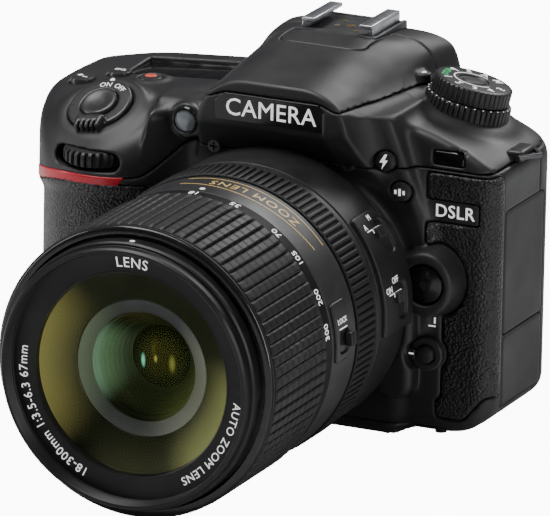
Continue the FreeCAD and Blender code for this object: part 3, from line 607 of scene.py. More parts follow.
def settle(points, quads, field, rounds=3):
    """Evens out the net and pulls it back onto the surface."""
    pairs = np.concatenate([quads[:, [n, (n + 1) % 4]] for n in range(4)])
    degree = np.bincount(pairs.ravel(), minlength=len(points)).astype(float)
    probe = 0.15

    def value(p):
        return field(p[:, 0], p[:, 1], p[:, 2])

    for _ in range(rounds):
        total = np.zeros_like(points)
        for n in range(3):
            total[:, n] = (np.bincount(pairs[:, 0], points[pairs[:, 1], n], len(points))
                           + np.bincount(pairs[:, 1], points[pairs[:, 0], n], len(points)))
        points = points * 0.4 + 0.6 * total / degree[:, None]
        for _ in range(2):
            here = value(points)
            slope = np.zeros_like(points)
            for n in range(3):
                shift = np.zeros(3)
                shift[n] = probe
                slope[:, n] = (value(points + shift) - value(points - shift)) / (2 * probe)
            size = np.maximum((slope ** 2).sum(1), 0.09)
            points = points - np.clip(here / size, -0.5, 0.5)[:, None] * slope
    return points


def moulded(name, field, low, high, look, body, replaces=(), step=None, rounds=3, flat_angle=None):
    """A piece whose surface is the zero level of a distance field."""
    step = step or STEP
    points, quads = surface_net(field, np.array(low, float), np.array(high, float), step)
    points = settle(points, quads, field, rounds)
    return piece(name, points, quads, look, body, replaces, flat_angle)


STEP = 0.65


# ---------------------------------------------------------------- body shape

BODY_FRONT, BODY_BACK = -20.2, 28.0
SIDE = 58.3
DECK = 82.4
GRIP_CENTRE, GRIP_HALF = (-53.4, 2.0), (26.8, 38.4)
SPLIT = 10.0                                         # joint between the front and rear covers
BASE = 3.0                                           # joint above the base plate
RELEASE = node_centre("lens_release_button")
LEVER = node_centre("focus_mode_lever")
LEVER_CENTRE = node_centre("focus_mode_button")[[0, 2]]
MAIN_DIAL = node_centre("main_command_dial")
DRUM_FRONT = -27.6
REAR_CORNER = (40.9, 10.6, 17.4)                     # centre and radius of the rounded rear corner
LAMP = (-29.8, -25.4, 79.6)                          # autofocus lamp


def oval(x, y, centre, half):
    """Approximate distance to an ellipse."""
    u, v = (x - centre[0]) / half[0], (y - centre[1]) / half[1]
    r = np.sqrt(u * u + v * v) + 1e-6
    g = np.sqrt((u / half[0]) ** 2 + (v / half[1]) ** 2) + 1e-6
    return (r - 1) * r / g


def grip_shape(x, y, z):
    """Hand grip: an oval column, a little slimmer below its head."""
    waist = 1.9 * ease(z + fall(x, y), 61.5, 57.5) * ease(z, -5, 20)
    front = oval(x, y, GRIP_CENTRE, GRIP_HALF) + waist
    back = plan_box(x, y, -77.5, -30, -6, BODY_BACK, 9)
    plan = smooth_max(smooth_min(front, back, 10), y - BODY_BACK, 5)
    return prism(plan, z, 0, 95, 3)


def main_box(x, y, z):
    """Box of the body, slimmer at the rear corner of the door side and drawn in towards its base."""
    left = plan_box(x, y, -70, 30, BODY_FRONT, BODY_BACK, 8)
    right = plan_box(x, y, -20, SIDE, BODY_FRONT, BODY_BACK, 5.5)
    corner = np.hypot(np.maximum(x - REAR_CORNER[0], 0), np.maximum(y - REAR_CORNER[1], 0)) - REAR_CORNER[2]
    right = smooth_max(right, corner, 1)
    body = prism(smooth_min(left, right, 0.5), z, 0, 110, 3)
    body = smooth_max(body, plane(x, y, z, (46.6, 0, 0), (0.56, 0.0, -0.83)), 3.5)
    front_edge = plane(x, y, z, (0, BODY_FRONT, 3.7), (0, -0.5, -0.87)) - 20 * ease(x, 29.5, 25)
    return smooth_max(body, front_edge, 2)


def deck_fall(x):
    """How far the deck drops towards the grip end."""
    return 0.075 * np.maximum(-36 - x, 0)


def shoulders(x, y, z):
    """Height limit: a flat deck on the grip side, a sloping shoulder on the door side."""
    right = plane(x, y, z, (26.0, 0, 87.2), (0.26, 0.0, 0.965))
    right = smooth_max(right, plane(x, y, z, (51.0, 0, 80.5), (0.62, 0.0, 0.785)), 6)
    right = smooth_max(right, plane(x, y, z, (40.0, 24.0, 80.0), (0.3, 0.62, 0.72)), 6)
    side = ease(x, -10, 10)
    left = z - DECK + deck_fall(x) - 0.035 * np.maximum(y - 2, 0)
    return left * (1 - side) + right * side


def columns(x, y, z):
    """The flared posts beside the lens mount that carry the viewfinder housing."""
    spread = 30.2 + np.clip(88 - z, 0, 36) * 0.335 - 10.4 * ease(z, 40, 12)
    lean = np.clip(z - 62, 0, 30) * 0.14
    sides = np.where(x < 0, -x - 23.5, (x - spread) * 0.96)
    fade = 1.6 * ease(z, 58, 40)
    posts = smooth_max(smooth_max(sides, fade - (y + 23.0 + lean), 3.0), np.maximum(y - 10, z - 88), 1.0)
    cheek = smooth_max(0.62 * (x - 17.6) - 0.78 * (y + 33.9), sides, 4)
    cheek = smooth_max(cheek, plane(x, y, z, (0, -36.0, 84.0), (0, -0.745, -0.667)), 1.5)
    cheek = np.maximum(smooth_max(cheek, z - 88.4, 1.0), np.maximum(17.0 - x, np.maximum(-(y + 35.2), y + 6)))
    return smooth_min(posts, cheek, 2)


def housing(x, y, z):
    """Viewfinder housing: an overhanging brow in front, broad and rounded behind."""
    ax = np.abs(x)
    widen = 0.115 * (y + 35)
    slope = 0.752 * (ax - 19.4 - widen) + 0.659 * (z - 91.3)
    wall = 0.985 * (ax - 21.5 - widen * 0.9) + 0.17 * (z - 88)
    top = np.maximum(plane(x, y, z, (0, -36, 95.9), (0, -0.138, 0.990)), z - 101.0)
    front = smooth_max(slope, top, 6)
    back = smooth_max(smooth_max(wall, z - 99.4, 12), plane(x, y, z, (0, 26, 99.4), (0, 0.30, 0.95)), 5)
    blend = ease(y, 0, 14)
    shape = smooth_max(front * (1 - blend) + back * blend, wall, 3)
    shape = smooth_max(shape, -(y + 36.0), 1.5)
    shape = smooth_max(shape, plane(x, y, z, (0, -36.0, 84.0), (0, -0.745, -0.667)), 1.2)
    return smooth_max(shape, y - 29.5, 4)


def drum(x, y, z):
    """Lens release housing with a flat side towards the lens."""
    spread = 7.9 + (y - DRUM_FRONT) * 0.17
    away = np.hypot(x - RELEASE[0], (z - RELEASE[2]) * 0.92) - spread
    body = prism(away, y, DRUM_FRONT, -10, 1.0)
    return smooth_max(body, 33.9 - x, 0.8)


def lever_housing(x, y, z):
    """Rounded fin below the drum, with the focus mode lever seated beside it."""
    fin = prism(plan_box(x, z, 26.5, 37.4, 11.0, 43, 5.0), y, -26.4, -10, 2.2)
    fin = smooth_max(fin, 35.6 - np.hypot(x, z - AXIS_Z), 1.2)
    seat = prism(plan_box(x, z, 33.0, 43.4, 11.0, 40, 2.5), y, -20.5, -10, 0.4)
    bite = capped_rod(x, y, z, (LEVER_CENTRE[0], -20.6, LEVER_CENTRE[1]), (0, -1, 0), 0, 9, 4.85, 0.3)
    return smooth_max(smooth_min(fin, seat, 0.5), -bite, 0.4)


def casing(x, y, z):
    """Outer surface of the closed camera body."""
    body = main_box(x, y, z)
    body = smooth_min(body, grip_shape(x, y, z), 9)
    body = smooth_max(body, shoulders(x, y, z), 3.2 + 3.6 * ease(x, -55, -74))
    slope = plane(x, y, z, DECK_PLACE, DECK_AXIS) - 40 * ease(x, -41, -33)
    body = smooth_max(body, slope, 6)
    lamp_block = block(x, y, z, (-40.5, -19), (-23.0, -12), (40, 84.4), 2.5)
    body = smooth_min(body, lamp_block, 4)
    lamp_boss = capped_rod(x, y, z, LAMP, (0, 1, 0), 0, 12, 4.7, 0.6)
    body = smooth_min(body, lamp_boss, 1.0)
    cup = capped_rod(x, y, z, DECK_PLACE, DECK_AXIS, -14, 0.2, 12.4, 1.6)
    body = smooth_min(body, cup, 4)
    movie_pad = capped_rod(x, y, z, node_centre("movie_button"), (0, 0, 1), -9, 3.0, 4.3, 1.0)
    body = smooth_min(body, movie_pad, 3)
    body = smooth_min(body, columns(x, y, z), 3.0)
    body = smooth_min(body, housing(x, y, z), 4)
    body = smooth_min(body, capped_rod(x, y, z, DIAL_TOP, DIAL_AXIS, -18, -9.7, 12.8, 1.5), 5)
    body = smooth_min(body, capped_rod(x, y, z, (24.6, 7.2, 85), (0, 0, 1), 0, 7.2, 2.3, 0.5), 1.2)
    collar = capped_rod(x, y, z, (0, FLANGE, AXIS_Z), (0, 1, 0), 0.9, 14, 35.0, 0.8)
    body = smooth_min(body, collar, 3)
    body = smooth_min(body, drum(x, y, z), 0.5)
    body = smooth_min(body, lever_housing(x, y, z), 0.5)
    eyepiece = block(x, y, z, (-17, 17), (15, 32.7), (68.4, 88.5), 2.5)
    return np.maximum(smooth_min(body, eyepiece, 3), -z)


def grooves(x, y, z, body, outer):
    """Fine panel lines that don't part two pieces."""
    lines = np.abs(door_region(y, z, (-11.4, 11.4), (30.8, 61.2))) - 0.26
    lines = np.maximum(lines, 50 - x)
    return smooth_max(body, -np.maximum(lines, -(outer + 0.5)), 0.35)


def inner_parts(x, y, z, body):
    """Openings shared by the covers: mount, dials, buttons, display and screen recess."""
    def bore(node, slack, axis, stretch=10):
        low, high = node_box(node)
        centre = (low + high) / 2
        radius = (high - low)[0] / 2 + slack
        return capped_rod(x, y, z, centre, axis, -stretch, stretch, radius, 0.1)

    cut = capped_rod(x, y, z, (0, 0, AXIS_Z), (0, 1, 0), -60, -8, 30.6, 0.3)
    slot = prism(plan_box(x, z, -65.2, -45.0, 65.0, 70.0, 2.4), y, -45, -18, 0.3)
    cut = np.minimum(cut, slot)
    cut = np.minimum(cut, capped_rod(x, y, z, MAIN_DIAL, (0, 0, 1), -2.9, 2.9, 12.2, 0.4))
    cut = np.minimum(cut, capped_rod(x, y, z, DECK_PLACE, DECK_AXIS, -0.1, 9, 9.25, 0.1))
    for node in ("flash_button", "bracket_button", "lens_release_button", "playback_button", "delete_button",
                 "menu_button", "zoom_in_button", "zoom_out_button", "live_view_button", "multi_selector",
                 "focus_mode_button"):
        cut = np.minimum(cut, bore(node, 0.25, (0, 1, 0)))
    for node in ("exposure_button", "iso_button", "movie_button"):
        cut = np.minimum(cut, bore(node, 0.25, (0, 0, 1)))
    screen = prism(plan_box(x, z, -37.6, 43.6, 7.4, 64.2, 1.5), y, 26.5, 40, 0.3)
    cut = np.minimum(cut, screen)
    display = prism(plan_box(x, y, -62.5, -30.5, 6.0, 22.8, 0.8), z + deck_fall(x), DECK - 1.0, 95, 0.2)
    cut = np.minimum(cut, display)
    return smooth_max(body, -cut, 0.5)


# ---------------------------------------------------------------- seams between the casing pieces

GAP = 0.14


def fall(x, y):
    """How far the seam drops along the outer side of the grip."""
    return np.clip(y + 35.5, 0, 26) * 0.26 * ease(x, -46, -60)


def top_seam(x, y, z):
    """Negative above the joint between the top cover and the other covers."""
    return 63.7 + 10.9 * ease(x, -42, -27) - fall(x, y) - z


def strip_edge(x, y, z):
    """Negative above the lower edge of the coloured strip."""
    return 63.7 - fall(x, y) - 1.9 - np.clip(y + 35.5, 0, 26) * 0.08 - z


def flash_region(x, y, z):
    """Negative inside the pop-up flash head, which runs back along both sides of the shoe."""
    ax = np.abs(x)
    level = 92.5 - 1.9 * ease(ax, 12.5, 19.5) - 0.03 * np.clip(y + 34, 0, 60)
    panel = prism(plan_box(x, y, -12.4, 12.4, -7.0, 20, 4.5), z, 80, 110, 0.2)
    return smooth_max(smooth_max(level - z, y - 15.0, 2.5), -panel, 0.4)


def grip_region(x, y, z):
    edge = smooth_max(smooth_max(-strip_edge(x, y, z), 5.4 - z, 3), x + 37.5, 3)
    return smooth_max(edge, y - 1.0, 3)


def strip_region(x, y, z):
    end = 0.8 * (x + 45.4) + 0.6 * (62 - z)
    return np.maximum(np.maximum(strip_edge(x, y, z), -top_seam(x, y, z)), np.maximum(end, y - 0.6))


def side_region(x, y, z):
    inner = 42.2 - 0.062 * (z - 9.6)
    edge = smooth_max(smooth_max(inner - x, 6.2 + 7.0 * ease(x, 49, 57) - z, 1.5), z - 73.6, 1.5)
    badge = prism(plan_box(x, z, 36, 53.6, 60.2, 66.4, 0.8), y, -40, -10, 0.2)
    edge = smooth_max(smooth_max(edge, y + 14.2, 1.5), -badge, 0.5)
    around = np.minimum(drum(x, y, z), lever_housing(x, y, z)) - 0.45
    around = np.minimum(around, np.hypot(x - LEVER_CENTRE[0], z - LEVER_CENTRE[1]) - 5.2)
    return smooth_max(edge, -around, 0.6)


def door_region(y, z, low, high):
    """Rounded rectangle on a side of the body, between two corners in y and z."""
    return plan_box(y, z, low[0], high[0], low[1], high[1], 1.5)


CARD_LOW, CARD_HIGH = node_box("card_door")
CARD_HINGE = joint_axis("card_door_open")[0]
UPPER_LOW, UPPER_HIGH = node_box("upper_port_door")
LOWER_LOW, LOWER_HIGH = node_box("lower_port_door")
BATTERY_LOW, BATTERY_HIGH = node_box("battery_door")


def card_region(x, y, z):
    return np.maximum(door_region(y, z, CARD_LOW[1:], CARD_HIGH[1:]), x + 60)


def card_barrel(x, y, z, slack=0.0):
    """The rounded hinge edge of the card cover, about the hinge's own axis."""
    half = (CARD_HIGH[2] - CARD_LOW[2]) / 2 + slack
    middle = (CARD_HINGE[0], CARD_HINGE[1], (CARD_LOW[2] + CARD_HIGH[2]) / 2)
    return capped_rod(x, y, z, middle, (0, 0, 1), -half, half, 1.7 + slack, 0.2)


def upper_region(x, y, z):
    return np.maximum(door_region(y, z, UPPER_LOW[1:], UPPER_HIGH[1:]), 45 - x)


def lower_region(x, y, z):
    return np.maximum(door_region(y, z, LOWER_LOW[1:], LOWER_HIGH[1:]), 45 - x)


def battery_region(x, y, z):
    plan = plan_box(x, y, BATTERY_LOW[0], BATTERY_HIGH[0], BATTERY_LOW[1], BATTERY_HIGH[1], 3)
    return np.maximum(plan, z - 20)


def pocket(body, outer, region, depth, gap=GAP):
    """Takes a shallow pocket out of a cover where another piece is let in."""
    return smooth_max(body, -np.maximum(region - gap, -(outer + depth)), 0.4)


def inlay(outer, region, depth, lift=0.0, gap=GAP, edge=0.5):
    """A thin piece let into the casing, following its shape."""
    return smooth_max(smooth_max(outer - lift, -(outer + depth), 0.2), region + gap, edge)


def make_covers():
    hollow = 2.4

    def shelled(outer, wall=hollow):
        return smooth_max(outer, -(outer + wall), 0.3)

    def lined(x, y, z, outer):
        """The shell, with a thicker wall behind the pockets of the side doors."""
        doors = np.minimum(np.minimum(card_region(x, y, z), upper_region(x, y, z)), lower_region(x, y, z))
        return np.minimum(shelled(outer), smooth_max(shelled(outer, hollow + 2.0), doors - 1.5, 0.3))

    def top_field(x, y, z):
        outer = casing(x, y, z)
        body = shelled(outer)
        tray = np.maximum(np.maximum(outer + 1.5, flash_region(x, y, z) - 6), -(flash_region(x, y, z) - 3))
        body = np.minimum(body, tray)
        edges = smooth_max(top_seam(x, y, z) + GAP, -(flash_region(x, y, z) - GAP), 0.3)
        body = smooth_max(body, edges, 0.35)
        body = pocket(body, outer, remote_region(x, y, z), 1.0)
        return grooves(x, y, z, inner_parts(x, y, z, body), outer)

    def flash_field(x, y, z):
        outer = casing(x, y, z)
        return smooth_max(shelled(outer, 4.0), flash_region(x, y, z) + GAP, 0.35)

    def under(x, y, z):
        return smooth_max(GAP - top_seam(x, y, z), BASE + GAP - z, 0.4)

    def front_field(x, y, z):
        outer = casing(x, y, z)
        body = smooth_max(lined(x, y, z, outer), smooth_max(under(x, y, z), y - SPLIT + GAP, 0.3), 0.35)
        body = pocket(body, outer, grip_region(x, y, z), 1.3)
        body = pocket(body, outer, strip_region(x, y, z), 1.0)
        body = pocket(body, outer, side_region(x, y, z), 1.1)
        for region in (card_region, upper_region, lower_region):
            body = pocket(body, outer, region(x, y, z), 2.0)
        return inner_parts(x, y, z, body)

    def rear_field(x, y, z):
        outer = casing(x, y, z)
        recess_back = prism(plan_box(x, z, -40.0, 46.0, 5.0, 67.0, 2.0), y, 24.0, 27.0, 0.3)
        body = np.minimum(lined(x, y, z, outer), smooth_max(recess_back, outer, 0.3))
        body = smooth_max(body, smooth_max(under(x, y, z), SPLIT + GAP - y, 0.3), 0.35)
        body = pocket(body, outer, thumb_region(x, y, z), 1.1)
        for region in (card_region, upper_region, lower_region):
            body = pocket(body, outer, region(x, y, z), 2.0)
        body = inner_parts(x, y, z, body)
        return smooth_max(body, -card_barrel(x, y, z, GAP), 0.3)

    def bottom_field(x, y, z):
        outer = casing(x, y, z)
        body = smooth_max(outer, z - BASE, 0.4)
        body = smooth_max(body, -(battery_region(x, y, z) - GAP), 0.4)
        socket = capped_rod(x, y, z, (0, 0, 0), (0, 0, 1), -5, 9, 3.2, 0.1)
        body = smooth_max(body, -socket, 0.5)
        for px, py in BASE_SCREWS:
            body = smooth_max(body, -capped_rod(x, y, z, (px, py, 0), (0, 0, 1), -5, 9, 2.2, 0.1), 0.3)
        return body

    moulded("cover_top", top_field, (-81.5, -39, 50), (61, 34.5, 106), "casing", "camera_body",
            ("top_cover",))
    moulded("flash_cover", flash_field, (-30, -39, 84), (30, 18, 106), "casing", "flash_head",
            ("flash_head",), step=STEP * 0.75)
    moulded("cover_front", front_field, (-81.5, -39, 2), (61, 11.5, 78), "casing", "camera_body",
            ("front_cover",))
    moulded("cover_rear", rear_field, (-81.5, 8.5, 2), (61, 34.5, 78), "casing", "camera_body",
            ("rear_cover",))
    moulded("cover_bottom", bottom_field, (-81.5, -39, -1.5), (61, 31, 4.5), "casing", "camera_body",
            ("bottom_cover",))

    def let_in(region, depth, lift=0.0, gap=GAP, edge=0.5):
        return lambda x, y, z: inlay(casing(x, y, z), region(x, y, z), depth, lift, gap, edge)

    moulded("grip_leather", let_in(grip_region, 1.2, 0.3, 0.04, 0.3), (-81.5, -39, 3), (-34, 3, 66),
            "covering", "camera_body", ("grip_rubber",))
    moulded("grip_strip", let_in(strip_region, 0.9, 0.12, -0.3, 0.2), (-81, -39, 50), (-42, 3, 66), "accent",
            "camera_body", ("grip_accent",), step=STEP * 0.6)
    moulded("side_leather", let_in(side_region, 1.0, 0.35), (34, -28, 3), (61, -12, 76), "covering",
            "camera_body", ("side_rubber",))
    moulded("thumb_leather", let_in(thumb_region, 1.0, 0.3), (-81.5, 8, 6), (-38, 31, 64), "covering",
            "camera_body")
    def card_field(x, y, z):
        outer = casing(x, y, z)
        leaf = inlay(outer, card_region(x, y, z), 1.8)
        return np.minimum(leaf, smooth_max(card_barrel(x, y, z), outer, 0.3))

    moulded("card_cover", card_field, (-81.5, 0, 12), (-66, 27, 60), "door_rubber", "card_door", ("card_door",))
    moulded("upper_port_cover", let_in(upper_region, 1.9, 0.1), (50, -15, 27), (61, 15, 65), "door_rubber",
            "upper_port_door", ("upper_port_door",))
    moulded("lower_port_cover", let_in(lower_region, 1.9, 0.1), (50, -15, 6), (61, 15, 31), "door_rubber",
            "lower_port_door", ("lower_port_door",))

    def battery_field(x, y, z):
        outer = casing(x, y, z)
        body = smooth_max(smooth_max(outer, z - BASE + GAP, 0.3), battery_region(x, y, z) + GAP, 0.4)
        latch = prism(plan_box(x, y, -68, -52, -30, -26, 1.8), z, -2, 0.7, 0.2)
        return smooth_max(body, -latch, 0.3)

    moulded("battery_cover", battery_field, (-76, -36, -1.5), (-44, 13, 4.5), "casing", "battery_door",
            ("battery_door",))


def remote_region(x, y, z):
    """Small dark window in the front of the shoulder."""
    shape = plan_box(x, z, 39.9, 49.0, 75.9, 79.8, 0.5)
    corner = np.hypot(np.maximum(x - 45.0, 0), np.maximum(z - 75.9, 0)) - 4.3
    return np.maximum(smooth_max(shape, corner, 0.5), y + 12)


def thumb_region(x, y, z):
    """Covering on the back for the thumb, around the selector."""
    shape = smooth_max(plan_box(x, z, -74.5, -41, 9, 61.5, 6), 14.0 - y, 2)
    around = np.hypot(x + 55.0, z - 46.0) - 11.5
    live = np.hypot(x + 48.5, z - 22.0) - 5.0
    return smooth_max(smooth_max(shape, -around, 1), -live, 1)


BASE_SCREWS = ((-38, 22), (25, 22), (41, 22), (41, -13), (25, -13))
make_covers()


# ---------------------------------------------------------------- small shaped parts

def join(parts):
    """Joins (points, faces) lists into one."""
    points, faces, start = [], [], 0
    for part_points, part_faces in parts:
        points.extend(part_points)
        faces.extend([tuple(start + n for n in face) for face in part_faces])
        start += len(part_points)
    return points, faces


def brick(low, high, bevel=0.3):
    """A box with rounded edges, as points and faces."""
    shape = bmesh.new()
    bmesh.ops.create_cube(shape, size=1)
    size = np.array(high, float) - np.array(low, float)
    centre = (np.array(high, float) + np.array(low, float)) / 2
    for vertex in shape.verts:
        vertex.co = [vertex.co[n] * size[n] + centre[n] for n in range(3)]
    bmesh.ops.bevel(shape, geom=shape.edges[:], offset=bevel, segments=3, profile=0.5, affect="EDGES")
    shape.verts.ensure_lookup_table()
    points = [tuple(v.co) for v in shape.verts]
    faces = [tuple(v.index for v in f.verts) for f in shape.faces]
    shape.free()
    return points, faces


def bricks(name, boxes, look, body, replaces=(), bevel=0.3, turn=None):
    parts = [brick(low, high, bevel) for low, high in boxes]
    points, faces = join(parts)
    if turn is not None:
        points = [turn(p) for p in points]
    return piece(name, points, faces, look, body, replaces, 40)


def slab(outline, low, high, place):
    """An outline in (u, v) given a thickness and put in place, as points and faces."""
    count = len(outline)
    points = [place(u, v, low) for u, v in outline] + [place(u, v, high) for u, v in outline]
    faces = [tuple(range(count))[::-1], tuple(range(count, 2 * count))]
    faces += [(n, (n + 1) % count, count + (n + 1) % count, count + n) for n in range(count)]
    return points, faces


def ring_outline(radius, steps=24, centre=(0, 0), stretch=1.0):
    return [(centre[0] + radius * math.cos(2 * math.pi * n / steps),
             centre[1] + radius * stretch * math.sin(2 * math.pi * n / steps)) for n in range(steps)]


def bar(u, v, length, width, angle=0.0):
    """Outline of a straight stroke."""
    c, s = math.cos(math.radians(angle)), math.sin(math.radians(angle))
    return [(u + a * c - b * s, v + a * s + b * c)
            for a, b in ((-length / 2, -width / 2), (length / 2, -width / 2), (length / 2, width / 2),
                         (-length / 2, width / 2))]


def marks(name, outlines, place, look, body, depth=0.05):
    """Flat printed marks, each given by an outline."""
    points, faces = join([slab(outline, -depth, depth, place) for outline in outlines])
    return piece(name, points, faces, look, body, flat_angle=30)


def lettering(name, text, size, place, look, body, depth=0.05, narrow=1.0, spacing=1.0, bold=0.0):
    """Raised letters or numbers; place turns (along, up, out) into a point of the body."""
    curve = bpy.data.curves.new(name + "_curve", "FONT")
    curve.body, curve.size, curve.extrude = text, size, depth
    curve.align_x, curve.align_y, curve.resolution_u = "CENTER", "CENTER", 3
    curve.space_character, curve.offset = spacing, bold
    holder = bpy.data.objects.new(name + "_holder", curve)
    bpy.context.scene.collection.objects.link(holder)
    bpy.context.view_layer.update()
    made = bpy.data.meshes.new_from_object(holder.evaluated_get(bpy.context.evaluated_depsgraph_get()))
    points = [place(v.co.x * narrow, v.co.y, v.co.z) for v in made.vertices]
    faces = [tuple(p.vertices) for p in made.polygons]
    bpy.data.objects.remove(holder)
    bpy.data.curves.remove(curve)
    bpy.data.meshes.remove(made)
    return piece(name, points, faces, look, body, flat_angle=30)


def on_plane(origin, along, up):
    """Place on a flat face: along and up are directions, out is their cross product."""
    origin = np.array(origin, float)
    along = np.array(along, float) / np.linalg.norm(along)
    up = np.array(up, float)
    out = np.cross(along, up)
    out /= np.linalg.norm(out)
    up = np.cross(out, along)
    return lambda u, v, w: tuple(origin + u * along + v * up + w * out)


def on_lens(radius, s, angle, forward=False):
    """Place on the lens barrel at an angle in degrees from the door side towards the top.

    Marks read from the door side; with forward they read from behind the camera.
    """
    start = math.radians(angle)

    def place(u, v, w):
        if forward:
            turn, along = start + u / radius, s + v
        else:
            turn, along = start + v / radius, s - u
        r = radius + w
        return (r * math.cos(turn), FLANGE - along, AXIS_Z + r * math.sin(turn))
    return place


def ribs(count, depth, start, stop, share=0.3, fade=0.8):
    """Radial offset that cuts grooves into a turned part between two distances."""
    def wave(angles, radius, distance):
        if distance < start or distance > stop:
            return 0 * angles
        strength = min(1.0, (distance - start) / fade, (stop - distance) / fade)
        phase = np.abs(((angles * count / (2 * math.pi)) % 1) - 0.5) * 2
        groove = np.clip((phase - (1 - share)) / (share * 0.5), 0, 1)
        return -depth * strength * groove
    return wave


# ---------------------------------------------------------------- lens

def rows(start, stop, count):
    return list(np.linspace(start, stop, count))


def make_lens():
    turned = lens_lathe
    plate = [(33.4, -1.2), (33.4, 0.3), (32.6, 0.5), (30.2, 0.5), (30.2, -1.2), (33.4, -1.2)]
    turned("lens_mount_plate", plate, "steel", "camera_body")
    skirt = [(31.6, 0.5), (32.2, 0.45), (32.6, 0.6), (38.1, 5.6), (38.5, 6.2), (38.5, 22.4), (38.3, 22.6),
             (38.0, 22.7), (38.0, 23.1), (38.3, 23.2), (38.5, 23.4), (38.5, 25.0), (38.2, 25.3), (36.4, 25.3),
             (36.4, 38.2), (38.3, 38.2), (38.6, 38.5), (38.6, 53.0), (38.3, 53.3), (36.4, 53.3), (36.2, 53.5),
             (36.2, 88.5), (34.7, 89.0), (34.7, 1.0), (31.6, 0.5)]
    turned("lens_barrel_skin", skirt, "barrel", "camera_body", replaces=("lens_barrel",))

    focus = [(36.6, 25.6), (38.6, 25.6), (38.9, 25.8), (38.9, 26.2)]
    focus += [(39.1, s) for s in rows(26.4, 37.2, 13)]
    focus += [(38.9, 37.4), (38.9, 37.7), (38.6, 37.9), (36.6, 37.9), (36.6, 25.6)]
    turned("focus_ring_grip", focus, "focus_rubber", "focus_ring", steps=1080, replaces=("focus_ring",),
           wave=ribs(120, 0.55, 26.3, 37.3, 0.5, 0.5))

    zoom = [(36.8, 53.6), (38.6, 53.6), (38.8, 53.8), (38.8, 57.2), (38.6, 57.5), (38.6, 57.9)]
    for row in range(9):
        start = 58.2 + row * 3.5
        zoom += [(39.22, start), (39.3, start + 0.12), (39.3, start + 1.6), (39.3, start + 3.25),
                 (39.22, start + 3.4)]
    zoom += [(38.7, 89.9), (38.7, 90.2), (39.2, 90.3), (39.2, 90.8), (38.9, 91.0), (36.8, 91.0),
             (36.8, 53.6)]
    turned("zoom_ring_grip", zoom, "zoom_rubber", "zoom_ring", steps=800, replaces=("zoom_ring",),
           wave=ribs(80, 0.62, 58.1, 89.8, 0.24, 0.6))
    lip = [(36.8, 90.8), (38.9, 91.02), (38.6, 91.4), (38.2, 91.6), (36.9, 91.6), (36.8, 90.8)]
    turned("zoom_ring_lip", lip, "gloss_black", "zoom_ring")

    inner = [(34.5, 8.0), (34.5, 91.2), (34.3, 91.5), (33.2, 91.5), (33.2, 8.0), (34.5, 8.0)]
    turned("inner_barrel_tube", inner, "barrel", "inner_barrel", replaces=("inner_barrel",))
    front = [(33.5, 91.7), (35.8, 91.7), (36.0, 91.9), (36.0, 95.4), (35.6, 95.9), (35.3, 96.0), (35.1, 96.0),
             (35.0, 96.2), (35.0, 98.3), (34.5, 98.95), (34.1, 99.0), (33.8, 98.9), (33.5, 98.5)]
    for n in range(6):
        front += [(33.75, 98.3 - n * 0.6), (33.5, 98.0 - n * 0.6)]
    front += [(33.5, 94.6), (33.3, 94.4), (27.9, 93.9), (27.5, 94.0), (27.2, 93.8), (27.0, 92.0),
              (27.9, 91.0), (33.2, 90.6), (33.5, 91.7)]
    turned("front_ring_shell", front, "front_black", "inner_barrel", steps=192, replaces=("front_ring",),
           flat_angle=24)
    throat = [(27.1, 92.2)]
    for n in range(8):
        throat += [(26.9 - n * 1.12, 91.95 - n * 0.62), (26.5 - n * 1.12, 91.8 - n * 0.62)]
    throat += [(18.2, 86.9), (18.6, 85.6), (28.5, 90.0), (28.5, 92.0), (27.1, 92.2)]
    turned("front_throat", throat, "throat", "inner_barrel", steps=128)

    def cap(radius, height, s, steps=14):
        bulge = (radius * radius + height * height) / (2 * height)
        half = math.asin(radius / bulge)
        return [(bulge * math.sin(half * (1 - n / steps)), s + bulge * (math.cos(half * (1 - n / steps))
                 - math.cos(half))) for n in range(steps)] + [(0.001, s + height)]

    turned("front_glass_lens", cap(27.1, 4.2, 92.2), "front_glass", "inner_barrel", steps=128,
           replaces=("front_element",), flat_angle=60)
    ring = [(18.5, 86.9), (18.1, 87.2), (15.1, 86.3), (14.7, 85.9), (15.2, 85.2), (18.0, 85.0), (18.5, 86.9)]
    turned("inner_ring", ring, "throat_ring", "inner_barrel", steps=96)
    stack = []
    for n in range(8):
        stack += [(15.3 - n * 0.82, 85.2 - n * 1.2), (14.8 - n * 0.82, 85.0 - n * 1.2)]
    stack += [(8.9, 75.2), (8.7, 74.7), (8.9, 74.3), (15.6, 74.3), (17.8, 85.2), (15.3, 85.2)]
    turned("inner_baffle", stack, "throat_depth", "inner_barrel", steps=96)
    turned("second_glass_lens", cap(15.2, 2.2, 83.0), "second_glass", "inner_barrel", steps=96, flat_angle=60)
    rim = [(8.5, 74.9), (8.9, 75.0), (9.0, 75.3), (8.8, 75.5), (8.4, 75.3), (8.5, 74.9)]
    turned("rear_glass_rim", rim, "throat_depth", "inner_barrel", steps=96)
    turned("rear_glass_lens", [(15.4, 73.6)] + cap(8.7, 2.0, 73.9), "rear_glass", "inner_barrel", steps=96,
           replaces=("inner_elements",), flat_angle=60)

    white = "white"
    for text, s, angle in (("18", 54.9, 91), ("35", 54.9, 73.4), ("70", 54.9, 53.6), ("105", 55.2, 41),
                           ("200", 55.4, 24), ("300", 55.7, 10)):
        lettering("zoom_mark_" + text, text, 3.1, on_lens(38.83, s + 0.4, angle, True), white, "zoom_ring",
                  0.06)
    marks("zoom_index", [ring_outline(0.75)], on_lens(38.62, 50.3, 91), white, "camera_body")
    marks("filter_index", [ring_outline(0.7)], on_lens(36.02, 94.0, 90), white, "inner_barrel")

